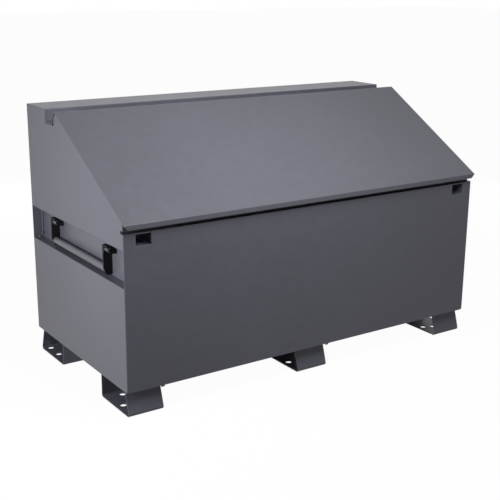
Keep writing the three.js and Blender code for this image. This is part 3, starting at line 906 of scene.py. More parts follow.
@dataclass(frozen=True)
class Layout:
    """The planes and gauges that several pieces share."""

    side_x: float = 762.0
    height: float = 947.0
    foot_height: float = 90.0
    front_y: float = -365.5
    rear_y: float = 379.5
    lip_y: float = -379.5
    strip_y: float = 214.5
    ridge_y: float = 124.5
    riser_y: float = -346.5
    centre_y: float = 7.0
    front_height: float = 624.6
    lid_front: float = 656.0
    gutter_floor: float = 902.0
    notch_drop: float = 4.0
    header_flange: float = 20.0
    bumper_height: float = 6.0
    fold_run: float = 22.0
    fold_drop: float = 24.0
    hinge_y: float = 209.2
    sheet: float = 2.0
    lid_sheet: float = 2.5
    fold: float = 3.0
    seat: float = 0.3
    recess_top: float = 570.3
    recess_bottom: float = 447.7
    recess_depth: float = 38.0
    lock_x: float = 690.0
    lock_width: float = 57.0
    lock_height: float = 39.0
    lock_top: float = 619.6
    lock_round: float = 1.5

    @property
    def inside_x(self) -> float:
        """Half the length between the sides, less their seats."""
        return self.side_x - self.sheet - self.seat

    @property
    def inside_front(self) -> float:
        """The back of the front panel, with a seat."""
        return self.front_y + self.sheet + self.seat

    @property
    def inside_rear(self) -> float:
        """The front of the rear panel, with a seat."""
        return self.rear_y - self.sheet - self.seat

    @property
    def strip_under(self) -> float:
        """The underside of the top strip, with a seat."""
        return self.height - self.sheet - self.seat

    @property
    def lid_under(self) -> float:
        """The underside of the lid in its own frame, with a seat."""
        return -self.lid_sheet - self.seat

    @property
    def notch_floor(self) -> float:
        """The top of the sides where the gutter passes over them."""
        return self.gutter_floor - self.lid_sheet - self.notch_drop

    @property
    def slope(self) -> float:
        """The lid's slope, as an angle."""
        return math.atan2(self.height - self.lid_front, self.ridge_y - self.lip_y)

    @property
    def slope_length(self) -> float:
        """The length of the lid's slope."""
        return math.hypot(self.height - self.lid_front, self.ridge_y - self.lip_y)

    def slope_point(self, y: float, below: float) -> Point:
        """Returns the point, at a depth into the box, of a line under the slope and a distance below it."""
        z = self.height - (self.ridge_y - y) * math.tan(self.slope) - below / math.cos(self.slope)
        return y, z

    @property
    def lid_frame(self) -> Matrix:
        """Places what follows the slope: Y up the slope from the ridge, Z out of the lid, in metres."""
        ridge = Matrix.Translation((0, self.ridge_y * MM, self.height * MM))
        return ridge @ Matrix.Rotation(self.slope, 4, "X")

    def lock_opening(self, sign: int, wall: float, radius: float) -> list[Point]:
        """Returns the outline of a padlock opening, a wall's thickness larger all round."""
        middle, reach = sign * self.lock_x, self.lock_width / 2 + wall
        low, high = self.lock_top - self.lock_height - wall, self.lock_top + wall
        return rounded(rectangle(middle - reach, middle + reach, low, high), radius)


LAYOUT = Layout()


def trims(low: Point, high: Point) -> Blank:
    """Returns the blocks that trim the ends of a panel, where the sides go, between two (Y, Z) corners."""
    cutter = Blank()
    for sign in SIDES.values():
        ends = sorted((sign * LAYOUT.inside_x, sign * (LAYOUT.side_x + OVERRUN)))
        cutter.box((ends[0], *low), (ends[1], *high))
    return cutter


@dataclass
class Shell:
    """The welded body: pan, front, rear, top strip and the three panels of each side."""

    pan_flange: float = 25.0
    corner_radius: float = 12.0
    corner_roll: float = 2.1
    roll_steps: int = 6
    rear_flange: float = 25.0
    hem: float = 15.0
    side_flange: float = 20.0
    clearance: float = 4.0
    notch_gap: float = 1.5
    slot_height: float = 10.0
    staple_gap: float = 6.5
    staple_crossing: float = 640.4
    edge: float = 0.45
    stitch: float = 40.0
    stitch_inset: Pair = (1.2, 0.8)
    front_stitches: tuple[float, ...] = (110.0, 230.0, 350.0)
    rear_stitches: tuple[float, ...] = (110.0, 230.0, 350.0, 610.0, 730.0, 850.0)
    seam_inset: float = 0.4
    seam_ends: Pair = (4.0, 6.0)
    recess_seam_inset: float = 2.6
    recess_seam_ends: Pair = (3.0, 2.0)
    recess_seam_width: float = 4.4
    weld_stops: tuple[Place, ...] = ((6.0, 6.0, 15.0), (19.0, 9.0, 1.4))
    weld_stop_size: Pair = (4.2, 3.6)
    weld_stop_facing: Pair = (-0.4, 0.6)
    tabs: tuple[tuple[str, float], ...] = (("left", -637.0), ("centre", 54.0))
    tab_height: float = 5.0
    tab_length: float = 17.0
    tab_inset: float = 0.2

    def build(self) -> None:
        """Builds every panel."""
        self.floor_pan()
        self.front_panel()
        self.rear_panel()
        self.top_strip()
        for side, sign in SIDES.items():
            self.lower_side(side, sign)
            self.channel(side, sign)
            self.upper_side(side, sign)
        self.stitches()
        self.foot_tabs()

    def panel(self, blank: Blank, node: str, **work: Iterable[Blank]) -> None:
        """Finishes a panel of the body. See plate for the work that may still be done on it."""
        plate(blank, node, "sheet", Slot.BODY, "box", self.edge, **work)

    def long_sheet(self, path: Sequence[Point], way: int, half: float) -> Blank:
        """Returns a sheet that is bent along a (Y, Z) path and reaches half a length either way."""
        return Blank().sheet(path, LAYOUT.sheet, LAYOUT.fold, way, Along.X, -half, half)

    def floor_pan(self) -> None:
        """Builds the tray at the bottom."""
        front, rear, low = LAYOUT.inside_front, LAYOUT.inside_rear, LAYOUT.foot_height
        top = low + self.pan_flange
        path = [(front, top), (front, low), (rear, low), (rear, top)]
        self.panel(self.long_sheet(path, 1, LAYOUT.inside_x), "floor_pan")

    def front_panel(self) -> None:
        """Builds the front with its ledge, riser and flange, its lock openings and rounded corners."""
        below = LAYOUT.lid_sheet + LAYOUT.bumper_height
        flange_y = LAYOUT.riser_y + LAYOUT.header_flange * math.cos(LAYOUT.slope)
        path = [
            (LAYOUT.front_y, LAYOUT.foot_height),
            (LAYOUT.front_y, LAYOUT.front_height),
            (LAYOUT.riser_y, LAYOUT.front_height),
            LAYOUT.slope_point(LAYOUT.riser_y, below),
            LAYOUT.slope_point(flange_y, below),
        ]
        ahead, behind = LAYOUT.front_y - OVERRUN, LAYOUT.front_y + LAYOUT.sheet
        low = LAYOUT.foot_height
        openings, notches, corners = Blank(), Blank(), Blank()
        for sign in SIDES.values():
            opening = LAYOUT.lock_opening(sign, 0.0, LAYOUT.lock_round)
            openings.prism(opening, Along.Y, ahead, behind + OVERRUN)
            middle = sign * LAYOUT.lock_x
            notches.box(
                (middle - self.staple_gap, LAYOUT.riser_y - OVERRUN, self.staple_crossing - self.clearance),
                (middle + self.staple_gap, flange_y + OVERRUN, LAYOUT.height),
            )
            r, corner = self.corner_radius, sign * LAYOUT.side_x
            across, up = corner - sign * r, low + r
            outline = [(across + sign * r * math.cos(t), up - r * math.sin(t)) for t in quarter(FOLD_STEPS)]
            outside = corner + sign * OVERRUN
            outline += [(across, low - OVERRUN), (outside, low - OVERRUN), (outside, up)]
            corners.prism(outline, Along.Y, ahead, behind + OVERRUN)
        ends = trims((behind, low - OVERRUN), (flange_y + OVERRUN, LAYOUT.height))
        cuts = (ends, openings, notches, corners, self.end_rolls())
        self.panel(self.long_sheet(path, -1, LAYOUT.side_x), "front_panel", cuts=cuts)

    def end_rolls(self) -> Blank:
        """Returns the cutter that rolls the upright ends of the front round to the sides."""
        cutter = Blank()
        r, front = self.corner_roll, LAYOUT.front_y
        for sign in SIDES.values():
            corner = sign * LAYOUT.side_x
            outline = [
                (corner - sign * r * (1 - math.sin(t)), front + r * (1 - math.cos(t)))
                for t in quarter(self.roll_steps)
            ]
            outside, ahead = corner + sign * OVERRUN, front - OVERRUN
            outline += [(outside, front + r), (outside, ahead), (corner - sign * r, ahead)]
            cutter.prism(outline, Along.Z, LAYOUT.foot_height - OVERRUN, LAYOUT.height)
        return cutter

    def rear_panel(self) -> None:
        """Builds the rear with its flange under the top strip."""
        rear, top, low = LAYOUT.rear_y, LAYOUT.strip_under, LAYOUT.foot_height
        ahead = rear - self.rear_flange
        path = [(rear, low), (rear, top), (ahead, top)]
        ends = trims((ahead - OVERRUN, low - OVERRUN), (rear - LAYOUT.sheet, LAYOUT.height))
        self.panel(self.long_sheet(path, 1, LAYOUT.side_x), "rear_panel", cuts=[ends])

    def top_strip(self) -> None:
        """Builds the fixed part of the top, with its flange in the gutter."""
        front, top = LAYOUT.strip_y, LAYOUT.height
        bottom = LAYOUT.notch_floor + LAYOUT.seat
        path = [(front + self.hem, bottom), (front, bottom), (front, top), (LAYOUT.rear_y, top)]
        low, high = (front + LAYOUT.sheet, bottom - OVERRUN), (front + self.hem + OVERRUN, top - LAYOUT.sheet)
        self.panel(self.long_sheet(path, -1, LAYOUT.side_x), "top_strip", cuts=[trims(low, high)])

    def lower_side(self, side: str, sign: int) -> None:
        """Builds the side under the handle recess."""
        top = LAYOUT.recess_bottom - LAYOUT.sheet - LAYOUT.seat
        outline = rectangle(LAYOUT.inside_front, LAYOUT.inside_rear, LAYOUT.foot_height, top)
        inner, outer = sign * (LAYOUT.side_x - LAYOUT.sheet), sign * LAYOUT.side_x
        self.panel(Blank().prism(outline, Along.X, inner, outer), f"{side}_lower_side")

    def channel(self, side: str, sign: int) -> None:
        """Builds the handle recess, with the weld at its rear end and the drops at the weld's stops."""
        outer, back = LAYOUT.side_x, LAYOUT.side_x - LAYOUT.recess_depth
        bottom, top = LAYOUT.recess_bottom, LAYOUT.recess_top
        front, rear = LAYOUT.inside_front, LAYOUT.inside_rear
        path = [(sign * outer, bottom), (sign * back, bottom), (sign * back, top), (sign * outer, top)]
        blank = Blank().sheet(path, LAYOUT.sheet, LAYOUT.fold, sign, Along.Y, front, rear)
        self.panel(blank, f"{side}_handle_channel")
        x, y = sign * (back + self.recess_seam_inset), rear - self.recess_seam_inset
        low, high = bottom + self.recess_seam_ends[0], top - self.recess_seam_ends[1]
        name = f"{side}_recess_end_weld"
        bead(name, "box", [((x, y, low), (x, y, high))], width=self.recess_seam_width, seed=5)
        stops = [[(sign * (back + out), rear - ahead, bottom + up)] for out, ahead, up in self.weld_stops]
        radius, height = self.weld_stop_size
        facing = (sign, *self.weld_stop_facing)
        BUTTONS.lay(f"{name}_stops", stops, Slot.ZINC, "box", Radius=radius, Height=height, Facing=facing)

    def upper_side(self, side: str, sign: int) -> None:
        """Builds the side over the recess, cut to the lid, with the flanges that carry lid and strip."""
        under = LAYOUT.lid_sheet + LAYOUT.seat
        front, rear = LAYOUT.inside_front, LAYOUT.inside_rear
        bottom = LAYOUT.recess_top + LAYOUT.sheet + LAYOUT.seat
        back_y = LAYOUT.strip_y + LAYOUT.sheet + LAYOUT.seat
        notch_y = LAYOUT.ridge_y + LAYOUT.fold_run - LAYOUT.lid_sheet - self.notch_gap
        notch_floor = LAYOUT.notch_floor + self.notch_gap
        peak_y = LAYOUT.ridge_y - self.clearance
        top, ledge = LAYOUT.strip_under, LAYOUT.front_height
        outline = [
            (front, bottom),
            (rear, bottom),
            (rear, top),
            (back_y, top),
            (back_y, notch_floor),
            (notch_y, notch_floor),
            (notch_y, LAYOUT.height - LAYOUT.fold_drop),
            LAYOUT.slope_point(peak_y, under),
            LAYOUT.slope_point(front, under),
            (front, ledge + self.slot_height),
            (LAYOUT.riser_y, ledge + self.slot_height),
            (LAYOUT.riser_y, ledge),
            (front, ledge),
        ]
        slope_flange = [
            LAYOUT.slope_point(LAYOUT.riser_y, under),
            LAYOUT.slope_point(peak_y, under),
            LAYOUT.slope_point(peak_y, under + LAYOUT.sheet),
            LAYOUT.slope_point(LAYOUT.riser_y, under + LAYOUT.sheet),
        ]
        flange_rear = LAYOUT.rear_y - self.rear_flange - LAYOUT.seat
        strip_flange = rectangle(back_y + LAYOUT.fold, flange_rear, top - LAYOUT.sheet, top)
        outer = sign * LAYOUT.side_x
        inner = outer - sign * self.side_flange
        flanges = [Blank().prism(flange, Along.X, inner, outer) for flange in (slope_flange, strip_flange)]
        blank = Blank().prism(outline, Along.X, outer - sign * LAYOUT.sheet, outer)
        self.panel(blank, f"{side}_upper_side", joins=flanges)

    def stitches(self) -> None:
        """Lays the stitch welds inside the upright corners, and the seams beside the gutter's ends."""
        lines, seams = [], []
        across, along = self.stitch_inset
        low, high = LAYOUT.notch_floor + self.seam_ends[0], LAYOUT.height - self.seam_ends[1]
        corners = (
            (LAYOUT.inside_front + along, self.front_stitches),
            (LAYOUT.inside_rear - along, self.rear_stitches),
        )
        for sign in SIDES.values():
            x = sign * (LAYOUT.inside_x - across)
            for y, levels in corners:
                lines += [((x, y, z), (x, y, z + self.stitch)) for z in levels]
            x, y = sign * (LAYOUT.side_x - LAYOUT.sheet), LAYOUT.strip_y - self.seam_inset
            seams.append(((x, y, low), (x, y, high)))
        bead("corner_stitch_welds", "box", lines, seed=3)
        bead("notch_seam_welds", "box", seams, width=1.9, seed=11)

    def foot_tabs(self) -> None:
        """Hangs a small welding tab from the front's lower edge, beside two of the feet."""
        high, low = LAYOUT.foot_height + OVERRUN, LAYOUT.foot_height - self.tab_height
        front, back = LAYOUT.front_y + self.tab_inset, LAYOUT.front_y + LAYOUT.sheet
        for place, start in self.tabs:
            end = start + self.tab_length
            outline = [(start, high), (start, low), (end - self.tab_height, low), (end, high)]
            piece = Blank().prism(outline, Along.Y, front, back).piece(f"{place}_front_tab_sheet")
            soften(piece, self.edge)
            dress(piece, Slot.BODY, "box")


@dataclass
class Sided:
    """What stands at one end of the box."""

    side: str

    @property
    def sign(self) -> int:
        """The end's way along X."""
        return SIDES[self.side]

    def outward(self, profile: Iterable[Pair]) -> list[Pair]:
        """Returns a profile whose depths go out from the middle of the box."""
        return [(radius, self.sign * x) for radius, x in profile]


@dataclass
class PadlockPocket(Sided):
    """The pocket behind a padlock opening."""

    depth: float = 80.0
    slot_half: float = 6.5
    slot_front: float = -331.0
    outer_round: float = 2.5
    edge: float = 0.5

    def build(self) -> None:
        """Builds the pocket with its slot for the staple."""
        middle, wall = self.sign * LAYOUT.lock_x, LAYOUT.sheet
        front, back = LAYOUT.inside_front, LAYOUT.inside_front + self.depth
        outside = LAYOUT.lock_opening(self.sign, wall, self.outer_round)
        inside = LAYOUT.lock_opening(self.sign, 0.0, LAYOUT.lock_round)
        room = Blank().prism(inside, Along.Y, front - OVERRUN, back - wall)
        slot = Blank().box(
            (middle - self.slot_half, self.slot_front, LAYOUT.lock_top - OVERRUN),
            (middle + self.slot_half, back - wall, LAYOUT.lock_top + wall + OVERRUN),
        )
        blank = Blank().prism(outside, Along.Y, front, back)
        plate(blank, f"{self.side}_lock_pocket", "sheet", Slot.BODY, "box", self.edge, cuts=(room, slot))


@dataclass
class Foot:
    """A foot bent from plate, open at both ends, with bolt holes in its base."""

    row: str
    place: str
    length: float = 130.0
    base: float = 207.0
    outer: float = -368.0
    lean: float = 28.0
    flange: float = 22.0
    gauge: float = 4.0
    fold: float = 10.0
    hole: float = 11.0
    hole_square: float = 76.0
    hole_inset: float = 22.0
    middle_holes: Pair = (81.0, 178.0)
    edge: float = 0.8
    weld_inset: tuple[float, float, float] = (8.0, 1.5, 2.2)

    @property
    def matrix(self) -> Matrix:
        """The foot's place, in metres. A rear foot is turned round."""
        turn = Matrix.Rotation(math.pi if self.row == "rear" else 0.0, 4, "Z")
        return Matrix.Translation((FEET[self.place] * MM, LAYOUT.centre_y * MM, 0)) @ turn

    def build(self) -> None:
        """Builds the foot."""
        top = LAYOUT.foot_height - LAYOUT.seat
        inner = self.outer + self.base
        leaning = self.outer + self.lean
        path = [
            (inner - self.flange, top),
            (inner, top),
            (inner, 0.0),
            (self.outer, 0.0),
            (leaning, top),
            (leaning + self.flange, top),
        ]
        half = self.length / 2
        node = f"{self.row}_{self.place}_foot"
        blank = Blank().sheet(path, self.gauge, self.fold, -1, Along.X, -half, half).placed(self.matrix)
        piece = blank.piece(f"{node}_plate")
        square, near = self.hole_square / 2, self.outer + self.hole_inset
        centres = [(x, near + y) for x in (-square, square) for y in (0.0, self.hole_square)]
        centres += [(0.0, self.outer + y) for y in self.middle_holes]
        places = marks("hole_marks", [[(x, y, self.gauge / 2)] for x, y in centres], self.matrix)
        DRILL.apply(piece, Slot.FOOT, Places=places, Radius=self.hole, Depth=6 * self.gauge)
        bpy.data.objects.remove(places)
        tidy(piece)
        soften(piece, self.edge, segments=3)
        dress(piece, Slot.FOOT, "box", node)

    def weld_lines(self) -> list[list[Place]]:
        """Returns the lines of the welds that hold the foot to the pan."""
        along, across, down = self.weld_inset
        reach, height = self.length / 2 - along, LAYOUT.foot_height - down
        lines = []
        for y in (self.outer + self.lean + across, self.outer + self.base - across):
            ends = [self.matrix @ Vector((x * MM, y * MM, height * MM)) for x in (-reach, reach)]
            lines.append([tuple(c / MM for c in end) for end in ends])
        return lines


@dataclass
class SideHandle(Sided):
    """A drop handle: saddles and pins in the recess, and a bail of two arms and a grip."""

    pin_x: float = 748.0
    pin_z: float = 542.0
    pin_radius: float = 7.0
    head_radius: float = 9.5
    head: float = 3.0
    ring: float = 1.6
    arms: Pair = (-204.5, 218.5)
    arm: float = 6.0
    arm_out: float = 9.0
    arm_in: float = 22.5
    arm_above: float = 15.0
    arm_below: float = 91.0
    arm_corner: float = 4.5
    arm_top: float = 16.0
    arm_slant: float = 17.0
    arm_toe: Pair = (12.0, 25.0)
    arm_edge: float = 0.9
    clear: float = 0.6
    saddle_width: float = 32.0
    saddle_gap: float = 2.0
    saddle_plate: float = 4.0
    saddle_below: float = 12.0
    saddle_fold: float = 6.0
    saddle_edge: float = 0.8
    saddle_weld: float = 1.4
    saddle_weld_out: Pair = (1.2, 0.9)
    saddle_weld_ends: Pair = (1.0, 4.0)
    leg_out: float = 3.0
    leg_round: float = 11.0
    grip_radius: float = 12.5
    grip_bore: float = 9.5
    grip_roll: float = 1.4
    grip_steps: int = 5
    grip_sides: int = 64
    grip_below: float = 71.0

    def build(self) -> None:
        """Builds every piece of the handle."""
        for place, y in zip(("front", "rear"), self.arms):
            self.saddle(place, y)
            self.pin(place, y)
            self.bail_arm(place, y)
        self.grip()

    def outline(self, points: Iterable[Point]) -> list[Point]:
        """Returns points that are given by their distances out from the pin and up from it, in (X, Z)."""
        return [(self.sign * (self.pin_x + out), self.pin_z + up) for out, up in points]

    def hole(self, start: float, end: float) -> Blank:
        """Returns the drill for the pin, between two depths."""
        centre = (self.sign * self.pin_x, self.pin_z)
        return Blank().prism(circle(*centre, self.pin_radius + self.clear), Along.Y, start, end)

    def saddle(self, place: str, y: float) -> None:
        """Builds the strap that holds a pin."""
        near = y - self.arm / 2 - self.saddle_gap
        far = near - self.saddle_width
        top, bottom = self.pin_z + self.arm_above, self.pin_z - self.saddle_below
        path = [(far, bottom), (far, top), (near, top), (near, bottom)]
        wall = self.sign * (LAYOUT.side_x - LAYOUT.recess_depth + LAYOUT.seat)
        end = self.sign * (self.pin_x + self.arm_out)
        blank = Blank().sheet(path, self.saddle_plate, self.saddle_fold, -1, Along.X, wall, end)
        cuts = (self.hole(near - self.saddle_plate - OVERRUN, near + OVERRUN), self.leg_end(far))
        node = f"{self.side}_{place}_saddle"
        plate(blank, node, "strap", Slot.BLACK, "box", self.saddle_edge, segments=3, cuts=cuts)
        x = wall + self.sign * self.saddle_weld
        edges = (far - self.saddle_weld_out[0], near + self.saddle_weld_out[1])
        low, high = bottom + self.saddle_weld_ends[0], top - self.saddle_weld_ends[1]
        lines = [((x, edge, low), (x, edge, high)) for edge in edges]
        bead(f"{node}_welds", "box", lines, Slot.BLACK, width=1.5, seed=7)

    def leg_end(self, far: float) -> Blank:
        """Returns the cutter that rounds the outer end of the closed leg, at a depth."""
        top, bottom, inner = self.arm_above, -self.saddle_below, self.leg_out - self.leg_round
        turns = quarter(FOLD_STEPS)
        across = [inner + self.leg_round * math.sin(t) for t in turns]
        up = [self.leg_round * (1 - math.cos(t)) for t in turns]
        end = [(a, top - b) for a, b in zip(across, up)]
        end += [(a, bottom + b) for a, b in zip(reversed(across), reversed(up))]
        outside = self.arm_out + OVERRUN
        end += rectangle(inner, outside, bottom - OVERRUN, top + OVERRUN)
        return Blank().prism(self.outline(end), Along.Y, far - OVERRUN, far + self.saddle_plate)

    def pin(self, place: str, y: float) -> None:
        """Turns a pin with its head, its groove and its retaining ring."""
        head = y + self.arm / 2 + LAYOUT.seat
        tip = y - self.arm / 2 - self.saddle_gap - self.saddle_width + self.saddle_plate + LAYOUT.seat
        r, ring, big, end = self.pin_radius, self.pin_radius + self.ring, self.head_radius, head + self.head
        profile = [
            (r - 1.2, tip),
            (r, tip + 0.9),
            (r, tip + 1.1),
            (ring, tip + 1.2),
            (ring, tip + 2.4),
            (r, tip + 2.5),
            (r, head - 0.2),
            (r + 0.1, head),
            (big, head),
            (big, end - 1.0),
            (big - 0.5, end - 0.3),
            (big - 1.4, end),
        ]
        blank = Blank().turned(profile, Along.Y, (self.sign * self.pin_x, self.pin_z))
        node = f"{self.side}_{place}_handle_pin"
        turning(blank, f"{node}_turned", Slot.ZINC, "box", node)

    def bail_arm(self, place: str, y: float) -> None:
        """Builds an arm of the bail."""
        out, inward, above, below = self.arm_out, -self.arm_in, self.arm_above, -self.arm_below
        corners = [
            (out, above),
            (inward + self.arm_top, above),
            (inward, above - self.arm_slant),
            (inward, below),
            (out - self.arm_toe[0], below),
            (out, below + self.arm_toe[1]),
        ]
        low, high = y - self.arm / 2, y + self.arm / 2
        blank = Blank().prism(rounded(self.outline(corners), self.arm_corner), Along.Y, low, high)
        node, body = f"{self.side}_{place}_handle_arm", f"{self.side}_handle"
        hole = self.hole(low - OVERRUN, high + OVERRUN)
        plate(blank, node, "plate", Slot.BLACK, body, self.arm_edge, segments=3, cuts=[hole])

    def grip(self) -> None:
        """Turns the grip between the arms, a tube with rolled ends."""
        reach = (self.arms[1] - self.arms[0]) / 2 - self.arm / 2 - LAYOUT.seat
        outer, bore, roll = self.grip_radius, self.grip_bore, self.grip_roll
        turns = quarter(self.grip_steps)
        arc = [(outer - roll + roll * math.sin(t), roll - roll * math.cos(t)) for t in turns]
        start, end = LAYOUT.centre_y - reach, LAYOUT.centre_y + reach
        profile = [(bore, start)] + [(radius, start + inset) for radius, inset in arc]
        profile += [(radius, end - inset) for radius, inset in reversed(arc)] + [(bore, end)]
        centre = (self.sign * (self.pin_x + (self.arm_out - self.arm_in) / 2), self.pin_z - self.grip_below)
        blank = Blank().turned(profile, Along.Y, centre, hollow=True, sides=self.grip_sides)
        turning(blank, f"{self.side}_grip_tube", Slot.GRIP, f"{self.side}_handle", f"{self.side}_grip")


@dataclass
class LidHinge:
    """The long hinge in the gutter: a leaf on the body, a leaf on the lid, and knuckles on one pin."""

    length: float = 1400.0
    knuckles: int = 7
    y: float = LAYOUT.hinge_y
    z: float = 907.3
    radius: float = 5.0
    bore: float = 3.45
    pin: float = 3.0
    pin_point: float = 0.8
    leaf: float = 2.5
    lid_leaf: float = 38.0
    body_leaf: float = 30.0
    gap: float = 0.6
    edge: float = 0.35
    stitch: float = 26.0
    stitch_pitch: float = 165.0
    stitches: int = 9
    stitch_inset: Pair = (1.2, 0.9)

    def build(self) -> None:
        """Builds both leaves, the pin and the stitch welds along both leaves."""
        back, under = self.y + self.radius, self.z - self.radius
        top, front = self.z + self.body_leaf, self.y - self.lid_leaf
        body_plate = rectangle(back - self.leaf, back, self.z, top)
        lid_plate = rectangle(front, self.y, under, under + self.leaf)
        self.leaf_piece("hinge_body_leaf", body_plate, 0, Slot.BODY, "box")
        self.leaf_piece("hinge_lid_leaf", lid_plate, 1, Slot.LID, "lid")
        half, r, point = self.length / 2 + LAYOUT.seat, self.pin, self.pin_point
        profile = [(r - point, -half), (r, point - half), (r, half - point), (r - point, half)]
        blank = Blank().turned(profile, Along.X, (self.y, self.z))
        turning(blank, "hinge_pin_rod", Slot.ZINC, "box", "hinge_pin")
        span = self.stitch_pitch * (self.stitches - 1)
        starts = [self.stitch_pitch * k - span / 2 for k in range(self.stitches)]
        y, z = back - self.stitch_inset[0], under + self.stitch_inset[1]
        on_body = [((x, y, top), (x + self.stitch, y, top)) for x in starts]
        on_lid = [((x, front, z), (x + self.stitch, front, z)) for x in starts]
        bead("hinge_body_stitch_welds", "box", on_body, width=1.7)
        bead("hinge_lid_stitch_welds", "lid", on_lid, Slot.LID, width=1.9, seed=5)

    def leaf_piece(self, node: str, outline: Sequence[Point], first: int, slot: Slot, body: str) -> None:
        """Builds a leaf: its plate, notched for the other leaf's knuckles, and its own knuckles.

        Args:
            node: The node that it replaces.
            outline: The outline of the plate.
            first: The number of its first knuckle.
            slot: Its finish.
            body: The body that it rides on.
        """
        step = self.length / self.knuckles
        start = -self.length / 2
        room = self.radius + self.gap
        notches = Blank()
        for k in range(self.knuckles):
            if k % 2 != first:
                low = start + k * step - (self.gap / 2 if k else OVERRUN)
                high = start + (k + 1) * step + (self.gap / 2 if k < self.knuckles - 1 else OVERRUN)
                notches.box((low, self.y - room, self.z - room), (high, self.y + room, self.z + room))
        bore = Blank().prism(circle(self.y, self.z, self.bore), Along.X, start - OVERRUN, OVERRUN - start)
        blank = Blank().prism(outline, Along.X, start, -start)
        plate(blank, node, "plate", slot, body, self.edge, cuts=(notches, bore))
        own = range(first, self.knuckles, 2)
        KNUCKLES.lay(
            f"{node}_knuckles",
            [[(start + (first + 0.5) * step, self.y, self.z)]],
            slot,
            body,
            node,
            sharp=True,
            Count=len(own),
            Pitch=2 * step,
            Length=step - self.gap,
            Radius=self.radius,
            Bore=self.bore,
        )


